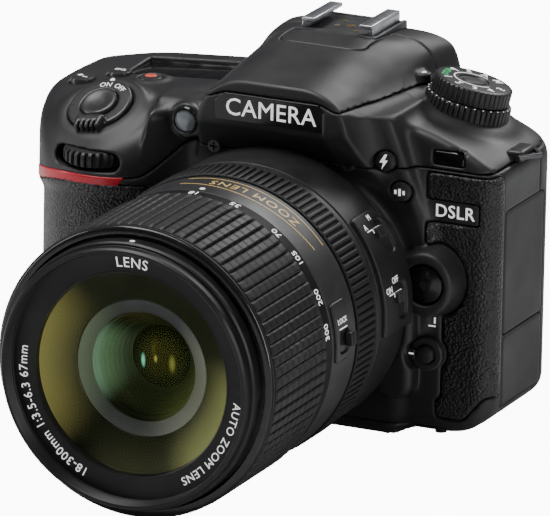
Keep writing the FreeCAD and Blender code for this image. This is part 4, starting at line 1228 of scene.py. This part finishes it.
    marks("gold_line_front", [bar(n * 1.3, -0.020 * n * n * 0.35, 1.32, 0.3) for n in range(-16, 17)],
          on_lens(38.62, 47.3, 72, True), "gold", "camera_body")
    marks("gold_line_rear", [bar(n * 1.3, 0, 1.32, 0.3) for n in range(-16, 17)],
          on_lens(38.62, 40.4, 72, True), "gold", "camera_body")
    lettering("gold_words", "ZOOM LENS", 4.4, on_lens(38.62, 43.7, 72, True), "gold", "camera_body", 0.06,
              spacing=1.15)

    def patch(name, field, low, high, look, body, replaces=(), step=0.35):
        """A piece worked out on the unrolled barrel: u along the arc, v along the axis, w out."""
        points, quads = surface_net(field, np.array(low, float), np.array(high, float), step)
        points = settle(points, quads, field, 2)
        turn = points[:, 0] / 39.0
        placed = np.stack([points[:, 2] * np.cos(turn), FLANGE - points[:, 1],
                           AXIS_Z + points[:, 2] * np.sin(turn)], 1)
        return piece(name, placed, quads[:, ::-1], look, body, replaces)

    def arc(angle):
        return math.radians(angle) * 39.0

    def pad(u, v, w):
        outline = plan_box(u, v, arc(-7), arc(43), 3.6, 21.2, 1.5)
        outline = smooth_max(outline, 0.75 * (u - arc(40)) - 0.66 * (v - 8.0), 1)
        step = prism(outline, w, 36.5, 39.6, 0.5)
        for angle in (31, 5):
            well = prism(plan_box(u, v, arc(angle) - 5.0, arc(angle) + 5.0, 7.4, 12.8, 2.2), w, 38.9, 45, 0.2)
            step = smooth_max(step, -well, 0.4)
        return step

    patch("switch_panel", pad, (arc(-11), 2, 36), (arc(47), 23, 41), "barrel", "camera_body")

    def lock_pad(u, v, w):
        outline = plan_box(u, v, arc(-5), arc(19), 43.0, 51.6, 1.5)
        step = prism(outline, w, 37.0, 39.2, 0.4)
        well = prism(plan_box(u, v, arc(3) - 3.2, arc(3) + 3.2, 44.0, 49.2, 1.5), w, 38.6, 45, 0.2)
        return smooth_max(step, -well, 0.4)

    patch("lock_panel", lock_pad, (arc(-8), 41, 36.5), (arc(22), 53, 40), "barrel", "camera_body")

    def slider(node, angle, s, half_u, half_v):
        def field(u, v, w):
            plan = plan_box(u, v, arc(angle) - half_u, arc(angle) + half_u, s - half_v, s + half_v, 0.6)
            body = prism(plan, w, 38.7, 40.9, 0.4)
            for n in (-1, 0, 1):
                notch = prism(plan_box(u, v, arc(angle) - 9, arc(angle) + 9, s - 0.25 + n * 0.9,
                                       s + 0.25 + n * 0.9, 0.1), w, 40.4, 45, 0.1)
                body = smooth_max(body, -notch, 0.2)
            return body
        patch(node + "_knob", field, (arc(angle) - half_u - 1, s - half_v - 1, 38.2),
              (arc(angle) + half_u + 1, s + half_v + 1, 41.5), "buttons", node, (node,), step=0.22)

    for node in ("zoom_lock_slider", "focus_switch", "stabiliser_switch"):
        centre = node_centre(node)
        angle = math.degrees(math.atan2(centre[2] - AXIS_Z, centre[0]))
        slider(node, angle, FLANGE - centre[1], *((1.9, 1.5) if node == "zoom_lock_slider" else (1.5, 1.9)))

    for name, angle, first, second in (("focus", 34.5, "A", "M"), ("stabiliser", 8.5, "ON", "OFF")):
        base = on_lens(39.62, 14.4, angle + 4.0)
        lettering(name + "_word_1", first, 2.4, on_lens(39.62, 17.8, angle + 2.6), white, "camera_body", 0.05)
        lettering(name + "_word_2", second, 2.4, on_lens(39.62, 13.4, angle + 5.4), white, "camera_body",
                  0.05, narrow=0.9)
        marks(name + "_lines", [bar(-2.2, -2.2, 3.2, 0.3), bar(2.0, -2.2, 3.2, 0.3), bar(0.3, -2.7, 0.3, 1.3),
                                bar(-0.7, -2.7, 0.3, 1.3)], base, white, "camera_body")
    lettering("lock_word", "LOCK", 2.1, on_lens(39.22, 47.0, 11), white, "camera_body", 0.05)
    marks("lock_line", [bar(0, 0, 4.6, 0.3)], on_lens(39.22, 47.0, 8.2), white, "camera_body")

    def around_front(text, size, angle, radius, name):
        start = math.radians(angle)

        def place(u, v, w):
            turn = start - u / radius
            r = radius + v
            s = 93.9 + (r - 27.9) * 0.0926 + w + 0.05
            return (r * math.cos(turn), FLANGE - s, AXIS_Z + r * math.sin(turn))
        lettering(name, text, size, place, white, "inner_barrel", 0.05, spacing=1.1)

    around_front("AUTO ZOOM LENS", 3.1, -33, 30.5, "front_words_right")
    around_front("18-300mm 1:3.5-6.3 67mm", 3.3, -150, 30.5, "front_words_left")
    around_front("LENS", 3.9, 90, 30.1, "front_words_top")


make_lens()


# ---------------------------------------------------------------- dials, buttons and switches

def button(name, node, axis, top, radius, look="buttons", dish=0.0, depth=5.0, dome=0.25):
    """A round button; top is how far its face is in front of the node's centre plane."""
    centre = node_centre(node)
    profile = [(radius * 0.55, -depth), (radius - 0.15, -depth), (radius, -depth + 0.2), (radius, top - 0.45),
               (radius - 0.18, top - 0.12), (radius - 0.5, top)]
    for n in range(5, 0, -1):
        share = n / 6
        profile.append((radius * 0.84 * share, top + dome * (1 - share * share) - dish * (1 - share ** 2)))
    profile.append((0.001, top + dome - dish))
    return lathe(name, profile, centre, axis, look, node, 64, (node,), 35)


def dial(name, node, profile, origin, axis, count, depth, start, stop, look="dials", share=0.45):
    return lathe(name, profile, origin, axis, look, node, count * 10, (node,), 35,
                 ribs(count, depth, start, stop, share, 0.3))


def make_controls():
    ridge = [(10.5, -0.2), (10.72, -0.5), (10.72, -4.0), (10.5, -4.4)]
    dial("mode_dial_knob", "mode_dial", [(3.2, -4.4)] + ridge[::-1] + [(10.0, 0.05), (9.6, 0.1), (4.2, 0.12),
         (3.9, -0.25), (3.2, -0.3), (2.9, 0.0), (0.001, 0.1)], DIAL_TOP, DIAL_AXIS, 44, 0.5, -4.2, -0.3)
    outer = [(3.2, -9.3), (11.3, -9.3), (11.7, -9.0), (11.7, -7.2), (11.7, -5.2), (11.4, -4.8), (11.0, -4.7),
             (3.2, -4.7)]
    dial("release_dial_knob", "release_dial", outer, DIAL_TOP, DIAL_AXIS, 48, 0.55, -9.1, -4.9)
    for node, name, radius in (("sub_command_dial", "front_dial_wheel", 8.8),
                               ("main_command_dial", "rear_dial_wheel", 11.5)):
        low, high = node_box(node)
        half = (high - low)[2] / 2 - (0.35 if radius < 10 else 0.0)
        profile = [(1.5, -half), (radius - 0.9, -half), (radius - 0.2, -half + 0.5), (radius, -half + 0.9),
                   (radius, 0.0), (radius, half - 0.9), (radius - 0.2, half - 0.5), (radius - 0.9, half),
                   (1.5, half)]
        dial(name, node, profile, node_centre(node), (0, 0, 1), 26 if radius < 10 else 36, 1.0,
             -half + 0.1, half - 0.1, "ring_rubber", 0.55)

    first, second, third = frame_of(DIAL_AXIS, (0, 1, 0))
    top = on_plane(np.array(DIAL_TOP) + 0.12 * third, -first, -np.cross(third, -first) * -1)

    def around(angle, radius):
        turn = math.radians(angle)
        c, s = math.cos(turn), math.sin(turn)
        return lambda u, v, w: top(c * radius - s * u + c * v, s * radius + c * u + s * v, w)

    marks("dial_index", [ring_outline(1.0, 20, (0, 0), 0.8)],
          on_plane((24.6, 7.2, 92.25), (1, 0, 0), (0, 1, 0)), "white", "camera_body", 0.06)
    for n, text in enumerate(("M", "A", "S", "P", "AUTO", "1", "2", "3", "4", "5")):
        look = "green" if text == "AUTO" else "white"
        lettering("mode_mark_" + text, text, 2.5 if text == "AUTO" else 3.3, around(236 + n * 34, 7.6), look,
                  "mode_dial", 0.04, bold=0.05)
    marks("mode_ring", [[(r * math.cos(math.radians(a)), r * math.sin(math.radians(a)))
                         for r, a in ((5.3, a0), (5.65, a0), (5.65, a0 + 6), (5.3, a0 + 6))]
                        for a0 in range(250, 520, 6)], top, "white", "mode_dial", 0.04)
    circle = 11.35
    marks("release_dots",
          [ring_outline(0.2, 8, (circle * math.cos(math.radians(a)), circle * math.sin(math.radians(a))))
           for a in range(0, 210, 12)],
          lambda u, v, w: tuple(np.array(top(u, v, w)) - 4.85 * third), "white", "release_dial", 0.05)

    deck = np.array(DECK_PLACE)
    up = np.array(DECK_AXIS)
    rise = 3.2 - 0.35
    dish = [(3.0, -3.0), (4.7, -3.0), (4.9, -2.8), (5.05, rise - 0.7), (4.95, rise - 0.3),
            (4.6, rise - 0.05), (4.2, rise), (3.4, rise - 0.12), (2.4, rise - 0.3), (1.2, rise - 0.42),
            (0.001, rise - 0.45)]
    lathe("shutter_button_cap", dish, deck, up, "satin_button", "shutter_button", 72, ("shutter_button",), 40)

    def switch(x, y, z):
        ring = capped_rod(x, y, z, deck, up, 0.15, 1.9, 9.0, 0.5)
        ring = smooth_max(ring, -capped_rod(x, y, z, deck, up, -3, 9, 5.35, 0.3), 0.5)
        out = np.array((0.0, -1.0, 0.0))
        out -= up * (out @ up)
        out /= np.linalg.norm(out)
        side = np.cross(up, out)
        dx, dy, dz = x - deck[0], y - deck[1], z - deck[2]
        a = dx * out[0] + dy * out[1] + dz * out[2]
        b = dx * side[0] + dy * side[1] + dz * side[2]
        c = dx * up[0] + dy * up[1] + dz * up[2]
        half = 4.0 - 0.15 * (a - 8)
        arm = plan_box(a, b * 4.0 / half, 5.9, 10.6, -4.0, 4.0, 1.0)
        arm = np.maximum(prism(arm, c, 0.0, 3.7, 0.8), 5.6 - np.hypot(a, b))
        for n in (-1.5, -0.5, 0.5, 1.5):
            notch = np.maximum(np.abs(b - n * 1.5) - 0.3, 8.6 - a)
            arm = smooth_max(arm, -notch, 0.4)
        return smooth_min(ring, arm, 0.8)

    moulded("power_switch_ring", switch, deck - 15, deck + 15, "satin_button", "power_switch",
            ("power_switch",),
            step=0.45)
    along = np.cross((0.0, 1.0, 0.0), up)
    face = on_plane(deck + up * 0.25, along, np.cross(up, along))
    marks("power_index", [ring_outline(0.7, 16, (-0.4, 10.6))], face, "white", "camera_body", 0.1)
    ring_face = on_plane(deck + up * 1.9, along, np.cross(up, along))

    def ring_word(text, angle, size, name):
        turn = math.radians(angle)

        def place(u, v, w):
            a = turn - u / 7.1
            r = 7.1 + v
            return ring_face(r * math.cos(a), r * math.sin(a), w)
        lettering(name, text, size, place, "white", "power_switch", 0.06)

    ring_word("ON", 94, 2.3, "power_word_on")
    ring_word("OFF", 55, 2.3, "power_word_off")

    tops = {"exposure_button": 80.7, "iso_button": 81.3, "movie_button": 82.2}
    for node, level in tops.items():
        low, high = node_box(node)
        button(node + "_cap", node, (0, 0, 1), level - node_centre(node)[2], (high - low)[0] / 2,
               "satin_button", 0.0, (high - low)[2] / 2 - 0.1)

    def on_cap(node, lift):
        middle = node_centre(node)
        return on_plane((middle[0], middle[1], tops[node] + lift), (1, 0, 0), (0, 1, 0))
    dot_place = (*node_centre("movie_button")[:2], tops["movie_button"])
    lathe("movie_button_dot", [(1.6, -0.3), (1.6, 0.3), (1.35, 0.42), (0.001, 0.5)], dot_place, (0, 0, 1),
          "red_button", "movie_button", 40)
    marks("exposure_sign", [bar(-0.8, 0.5, 1.6, 0.4), bar(-0.8, 0.5, 0.4, 1.6), bar(1.0, -0.6, 1.4, 0.4)],
          on_cap("exposure_button", 0.24), "white", "exposure_button", 0.05)
    lettering("iso_sign", "ISO", 2.1, on_cap("iso_button", 0.24), "white", "iso_button", 0.05)

    faces = {"flash_button": -26.3, "bracket_button": -24.5}
    for node, level in faces.items():
        low, high = node_box(node)
        button(node + "_cap", node, (0, -1, 0), node_centre(node)[1] - level, 2.8, "satin_button", 0.0,
               (high - low)[1] / 2)

    def on_face(node):
        middle = node_centre(node)
        return on_plane((middle[0], faces[node] - 0.27, middle[2]), (1, 0, 0), (0, 0, 1))
    bolt = [(0.3, 2.1), (-1.2, -0.3), (-0.1, -0.15), (-0.55, -2.1), (1.2, 0.5), (0.2, 0.4), (1.0, 2.1)]
    marks("flash_sign", [bolt], on_face("flash_button"), "white", "flash_button", 0.04)
    marks("bracket_sign", [bar(-1.2, 0, 0.6, 1.1), bar(0, 0, 0.7, 1.9), bar(1.2, 0, 0.6, 1.1)],
          on_face("bracket_button"), "white", "bracket_button", 0.04)
    low, high = node_box("lens_release_button")
    half = (high - low)[1] / 2
    button("release_button_cap", "lens_release_button", (0, -1, 0), half + 1.2, 5.2, "gloss_black", 0.0, half,
           dome=0.7)
    low, high = node_box("focus_mode_lever")
    half = (high - low)[1] / 2
    pivot = (LEVER_CENTRE[0], LEVER[1], LEVER_CENTRE[1])
    lathe("focus_lever_ring", [(2.6, -half), (4.5, -half), (4.6, -half + 0.2), (4.6, half - 0.3), (4.2, half),
          (3.0, half), (2.6, half - 0.3), (2.6, -half)], pivot, (0, -1, 0), "buttons", "focus_mode_lever", 64,
          ("focus_mode_lever",))
    bricks("focus_lever_tab", [((pivot[0] - 4.9, LEVER[1] - half - 0.9, pivot[2] - 1.3),
                                (pivot[0] - 2.8, LEVER[1] + half, pivot[2] + 1.3))],
           "gloss_black", "focus_mode_lever", (), 0.4)
    marks("focus_lever_line", [bar(0, 0, 1.4, 0.4)],
          on_plane((pivot[0] - 3.8, LEVER[1] - half - 0.92, pivot[2]), (1, 0, 0), (0, 0, 1)), "white",
          "focus_mode_lever", 0.04)
    low, high = node_box("focus_mode_button")
    button("focus_mode_cap", "focus_mode_button", (0, -1, 0), (high[1] - low[1]) / 2, 2.4, "buttons", 0.0,
           2.0)
    marks("focus_marks", [bar(-1.2, 0, 0.45, 1.7), bar(0.9, 0, 0.45, 1.7), bar(-0.15, -1.6, 2.6, 0.35)],
          on_plane((41.0, -21.0, 33.2), (1, 0, 0), (0, 0, 1)), "white", "camera_body", 0.05)

    for node, sign in (("playback_button", "play"), ("delete_button", "bin"), ("menu_button", "menu"),
                       ("zoom_in_button", "plus"), ("zoom_out_button", "minus"), ("live_view_button", "view"),
                       ("ok_button", "ok")):
        low, high = node_box(node)
        half = (high - low)[1] / 2
        drop = 0.0 if node == "ok_button" else 1.4
        button(node + "_cap", node, (0, 1, 0), half - drop, (high - low)[0] / 2, "buttons", 0.0, half - 0.1,
               dome=0.2)
        shapes = {
            "play": [[(-0.8, -1.1), (1.2, 0), (-0.8, 1.1)]],
            "bin": [bar(0, 0.9, 2.2, 0.35), bar(-0.7, -0.3, 0.3, 1.8), bar(0.7, -0.3, 0.3, 1.8),
                    bar(0, -1.1, 1.7, 0.3), bar(0, -0.2, 0.3, 1.2)],
            "menu": [bar(0, 0.9, 2.4, 0.35), bar(0, 0, 2.4, 0.35), bar(0, -0.9, 2.4, 0.35)],
            "plus": [bar(0, 0, 2.2, 0.4), bar(0, 0.7, 0.4, 1.0), bar(0, -0.7, 0.4, 1.0)],
            "minus": [bar(0, 0, 2.2, 0.4)],
            "view": [bar(0, 0.8, 2.4, 0.3), bar(0, -0.8, 2.4, 0.3), bar(-1.05, 0, 0.3, 1.4),
                     bar(1.05, 0, 0.3, 1.4)],
            "ok": [ring_outline(0.5, 12)],
        }[sign]
        middle = node_centre(node)
        face = on_plane((middle[0], high[1] + 0.2 - drop, middle[2]), (-1, 0, 0), (0, 0, 1))
        marks(node + "_sign", shapes, face, "white", node, 0.05)

    low, high = node_box("multi_selector")
    half = (high - low)[1] / 2
    pad = [(3.4, -half), (8.6, -half), (9.4, -half + 0.5), (9.4, half - 0.9), (8.9, half - 0.2),
           (8.0, half), (6.2, half - 0.35), (4.2, half - 0.5), (3.4, half - 0.5), (3.4, -half)]
    lathe("selector_pad", pad, node_centre("multi_selector"), (0, 1, 0), "buttons", "multi_selector", 96,
          ("multi_selector",))
    middle = node_centre("multi_selector")
    arrows = []
    for turn in range(4):
        c, s = math.cos(turn * math.pi / 2), math.sin(turn * math.pi / 2)
        arrows.append([(c * u - s * v, s * u + c * v) for u, v in ((7.9, 0), (6.9, 0.8), (6.9, -0.8))])
    marks("selector_arrows", arrows, on_plane((middle[0], high[1] - 0.1, middle[2]), (-1, 0, 0), (0, 0, 1)),
          "white", "multi_selector", 0.12)


make_controls()


# ---------------------------------------------------------------- fittings

def make_fittings():
    pack = [((-65.5, -23.0, 4.2), (-50.0, 8.5, 59.6)), ((-63.5, -21.0, 59.0), (-52.0, -15.0, 60.0))]
    bricks("battery_pack", pack, "cell", "camera_body", ("battery",), 1.2)
    low, high = node_box("hot_shoe")
    y0, y1 = low[1], high[1]
    rails = []
    for side in (-1, 1):
        def edge(a, b):
            return (min(side * a, side * b), max(side * a, side * b))
        wall, lip = edge(9.3, 10.4), edge(6.5, 10.3)
        rails.append(((wall[0], y0, 99.4), (wall[1], y1, 103.0)))
        rails.append(((lip[0], y0 - 0.5, 102.3), (lip[1], y1, 103.45)))
    bricks("shoe_rails", rails, "steel", "camera_body", ("hot_shoe",), 0.3)
    pedestal = [((-10.2, y0 + 0.4, 99.0), (10.2, y1 + 0.6, 99.9)),
                ((-11.9, y0 - 1.6, 98.0), (11.9, y0 + 0.6, 100.7)),
                ((-11.9, y0 - 1.4, 97.6), (-10.6, y1 + 1.5, 100.6)),
                ((10.6, y0 - 1.4, 97.6), (11.9, y1 + 1.5, 100.6)),
                ((-11.9, y1 + 0.4, 98.0), (11.9, y1 + 1.6, 100.2))]
    bricks("shoe_base", pedestal, "casing", "camera_body", (), 0.35)
    contacts = [ring_outline(1.3, 24, (0, 14.5)), ring_outline(0.7, 16, (-3.4, 18.3)),
                ring_outline(0.7, 16, (3.4, 18.3)), ring_outline(0.7, 16, (-3.4, 13.0)),
                ring_outline(0.7, 16, (3.4, 10.5))]
    marks("shoe_contacts", contacts, on_plane((0, 0, 99.95), (1, 0, 0), (0, 1, 0)), "brass", "camera_body",
          0.12)

    for name, side, out, along, level in (("strap_lug_doors", 1, 57.9, 0.0, 76.2),
                                          ("strap_lug_grip", -1, 75.9, 6.0, 73.0)):
        def stand(u, v, w, side=side, out=out, along=along, level=level):
            return (side * (out + u), along + v, level + w)
        strokes = [bar(2.1, 2.6, 6.6, 1.2, -51), bar(2.1, -2.6, 6.6, 1.2, 51), bar(0.4, 0, 1.2, 10.4)]
        points, faces = join([slab(stroke, -0.65, 0.65, stand) for stroke in strokes])
        made = piece(name, points, faces, "dark_steel", "camera_body",
                     ("strap_lugs",) if side > 0 else (), 40)
        rounding = made.modifiers.new("edge", "BEVEL")
        rounding.width, rounding.segments = 0.35 * MM, 3
        bricks(name + "_foot", [(np.minimum(stand(-4, -4.6, -1.5), stand(1.0, 4.6, 1.5)),
                                 np.maximum(stand(-4, -4.6, -1.5), stand(1.0, 4.6, 1.5)))], "casing",
               "camera_body", (), 0.9)

    def eyecup(x, y, z):
        curve = 0.004 * x * x
        outer = prism(plan_box(x, z, -18.5, 18.5, 68.8, 89.8, 4.5), y + curve, 33.0, 37.6, 1.4)
        hole = prism(plan_box(x, z, -11.8, 11.8, 72.2, 85.0, 3.0), y, 20, 50, 0.2)
        flare = prism(plan_box(x, z, -14.0, 14.0, 70.6, 86.8, 3.5), y, 36.0, 50, 0.5)
        return smooth_max(smooth_max(outer, -hole, 1.0), -flare, 1.2)

    moulded("eyecup_rubber", eyecup, (-20, 31, 67), (20, 39, 92), "ring_rubber", "camera_body", ("eyecup",),
            step=0.5)
    bricks("eyepiece_glass", [((-12.5, 31.6, 71.6), (12.5, 33.0, 85.6))], "window", "camera_body", (), 0.6)

    plate = [(-16.0, 84.8), (-16.4, 90.0), (-13.6, 92.3), (13.6, 92.3), (16.4, 90.0), (16.0, 84.8)]
    points, faces = slab(plate, -0.35, 0.35, lambda u, v, w: (u, -35.95 - w, v))
    made = piece("front_plate", points, faces, "gloss_black", "camera_body", ("name_plate",), 30)
    bevel = made.modifiers.new("edge", "BEVEL")
    bevel.width, bevel.segments, bevel.limit_method = 0.25 * MM, 3, "ANGLE"
    lettering("front_plate_word", "CAMERA", 6.6, on_plane((0, -36.33, 88.5), (1, 0, 0), (0, 0, 1)), "white",
              "camera_body", 0.12, narrow=1.0, spacing=1.03)
    lettering("badge_word", "DSLR", 4.9, on_plane((46.6, BODY_FRONT - 0.12, 63.3), (1, 0, 0), (0, 0, 1)),
              "white", "camera_body", 0.15, narrow=0.98, spacing=1.05)

    bezel = [(2.6, -1.0), (3.7, -1.0), (3.9, 0.0), (3.6, 0.5), (3.2, 0.6), (2.9, 0.2), (2.6, -1.0)]
    lathe("lamp_ring", bezel, (LAMP[0], LAMP[1] - 0.1, LAMP[2]), (0, -1, 0), "gloss_black", "camera_body", 64)
    # the lamp's glass is grey, with painted reflections from prism_glass
    lathe("lamp_glass", [(3.1, -1.0), (3.1, 0.1), (2.4, 0.55), (1.2, 0.85), (0.001, 0.95)],
          (LAMP[0], LAMP[1] - 0.1, LAMP[2]), (0, -1, 0), "prism_glass", "camera_body", 48)
    bricks("top_display", [((-62.3, 6.2, DECK - 1.5), (-30.7, 22.6, DECK - 0.5))], "window", "camera_body",
           (), 0.4, lambda p: (p[0], p[1], p[2] - float(deck_fall(p[0]))))

    def remote(x, y, z):
        return inlay(casing(x, y, z), remote_region(x, y, z), 0.9, -0.15)

    moulded("remote_window", remote, (37, -27, 73), (54, -12, 84), "window", "camera_body", (), step=0.4)

    low, high = node_box("screen_panel")

    def panel(x, y, z):
        body = prism(plan_box(x, z, low[0], high[0], low[2], high[2], 3.0), y, low[1], high[1], 0.8)
        glass = prism(plan_box(x, z, low[0] + 3.2, high[0] - 3.2, low[2] + 3.0, high[2] - 3.6, 1.2), y,
                      high[1] - 0.7, high[1] + 5, 0.1)
        tab = prism(plan_box(x, z, -8, 14, high[2] - 2.2, high[2] + 3, 0.8), y, high[1] - 1.0, high[1] + 4,
                    0.2)
        return smooth_max(smooth_max(body, -glass, 0.3), -tab, 0.6)

    moulded("screen_frame", panel, low - 1.5, high + 1.5, "casing", "screen_panel", ("screen_panel",),
            step=0.6)
    glass = ((low[0] + 3.4, high[1] - 1.2, low[2] + 3.2), (high[0] - 3.4, high[1] - 0.45, high[2] - 3.8))
    bricks("screen_glass", [glass], "screen", "screen_panel", (), 0.25)

    bricks("flash_lamp", [((-12.5, -29.5, 92.3), (12.5, -20.5, 94.6))], "grey", "flash_head", (), 0.3)


make_fittings()


# ---------------------------------------------------------------- finish of the CAD pieces that stay visible

CARRIED = {
    "case_screws": "casing", "mount_ring": "steel", "mirror_box": "baffle", "image_sensor": "sensor",
    "main_board": "circuit", "viewfinder_prism": "prism_glass", "iris_blades": "iris",
    "reflex_mirror": "mirror_glass", "shutter_curtain": "iris", "screen_bracket": "dark_steel",
}
for node_name, look_name in CARRIED.items():
    carried = frame["nodes"][node_name]
    carried.data.materials.clear()
    carried.data.materials.append(MATERIALS[look_name])


# ---------------------------------------------------------------- studio

def pale_floor(node, link, shader):
    """Near-white floor that stays bright to the camera but bounces little light back."""
    tree = shader.id_data
    output = next(n for n in tree.nodes if n.type == "OUTPUT_MATERIAL")
    shader.inputs["Roughness"].default_value = 0.7
    mottle = node("ShaderNodeTexNoise", Scale=40.0, Detail=3.0)
    link(mix_colour(node, link, mottle.outputs["Fac"], (0.70, 0.70, 0.70), (0.74, 0.74, 0.74)),
         shader.inputs["Base Color"])
    shine = node("ShaderNodeEmission", Strength=15.0)
    path = node("ShaderNodeLightPath")
    share = node("ShaderNodeMath", operation="MULTIPLY")
    share.inputs[1].default_value = 0.72
    link(path.outputs["Is Camera Ray"], share.inputs[0])
    mix = node("ShaderNodeMixShader")
    link(share.outputs[0], mix.inputs[0])
    link(shader.outputs[0], mix.inputs[1])
    link(shine.outputs[0], mix.inputs[2])
    link(mix.outputs[0], output.inputs["Surface"])


def studio():
    """Pale floor, soft lights and the camera."""
    world = bpy.data.worlds.new("studio")
    bpy.context.scene.world = world
    world.use_nodes = True
    nodes, link = world.node_tree.nodes, world.node_tree.links.new
    soft = nodes["Background"]
    soft.inputs["Color"].default_value = (0.9, 0.93, 1.0, 1)
    soft.inputs["Strength"].default_value = 0.07
    seen = nodes.new("ShaderNodeBackground")
    seen.inputs["Color"].default_value = (1, 1, 1, 1)
    seen.inputs["Strength"].default_value = 11.0
    path = nodes.new("ShaderNodeLightPath")
    mix = nodes.new("ShaderNodeMixShader")
    link(path.outputs["Is Camera Ray"], mix.inputs[0])
    link(soft.outputs[0], mix.inputs[1])
    link(seen.outputs[0], mix.inputs[2])
    link(mix.outputs[0], nodes["World Output"].inputs["Surface"])
    size = 6.0
    mesh = bpy.data.meshes.new("floor")
    level = -0.0006
    corners = [(-size, -size, level), (size, -size, level), (size, size, level), (-size, size, level)]
    mesh.from_pydata(corners, [], [(0, 1, 2, 3)])
    floor = bpy.data.objects.new("floor", mesh)
    bpy.context.scene.collection.objects.link(floor)
    material = new_material("floor_look", pale_floor)
    mesh.materials.append(material)

    def area(name, place, target, width, height, power, colour=(1, 1, 1)):
        data = bpy.data.lights.new(name, "AREA")
        data.shape = "RECTANGLE"
        data.size, data.size_y, data.energy, data.color = width, height, power, colour
        lamp = bpy.data.objects.new(name, data)
        bpy.context.scene.collection.objects.link(lamp)
        lamp.location = place
        lamp.rotation_euler = (Vector(target) - Vector(place)).to_track_quat("-Z", "Y").to_euler()

    centre = (0, -0.04, 0.05)
    area("top", (-0.30, -0.15, 1.15), centre, 0.75, 0.75, 14)
    area("left_strip", (-1.2, -0.45, 0.45), centre, 0.22, 0.9, 5)
    area("right_strip", (1.25, -0.55, 0.40), centre, 0.22, 0.9, 5)
    area("rear_rim", (0.25, 1.0, 0.9), centre, 0.9, 0.3, 9)

    data = bpy.data.cameras.new("view")
    data.sensor_width = 36.0
    data.lens = 642.6
    data.clip_end = 20
    view = bpy.data.objects.new("view", data)
    bpy.context.scene.collection.objects.link(view)
    right = Vector((0.9086, 0.4178, 0.0185))
    up = Vector((-0.1366, 0.2547, 0.9573))
    back = right.cross(up).normalized()
    up = back.cross(right).normalized()
    right.normalize()
    turn = Matrix((right, up, back)).transposed().to_4x4()
    target = Vector((0.005556, -0.044, 0.05143))
    view.matrix_world = Matrix.Translation(target + back * 2.587) @ turn
    bpy.context.scene.camera = view


studio()
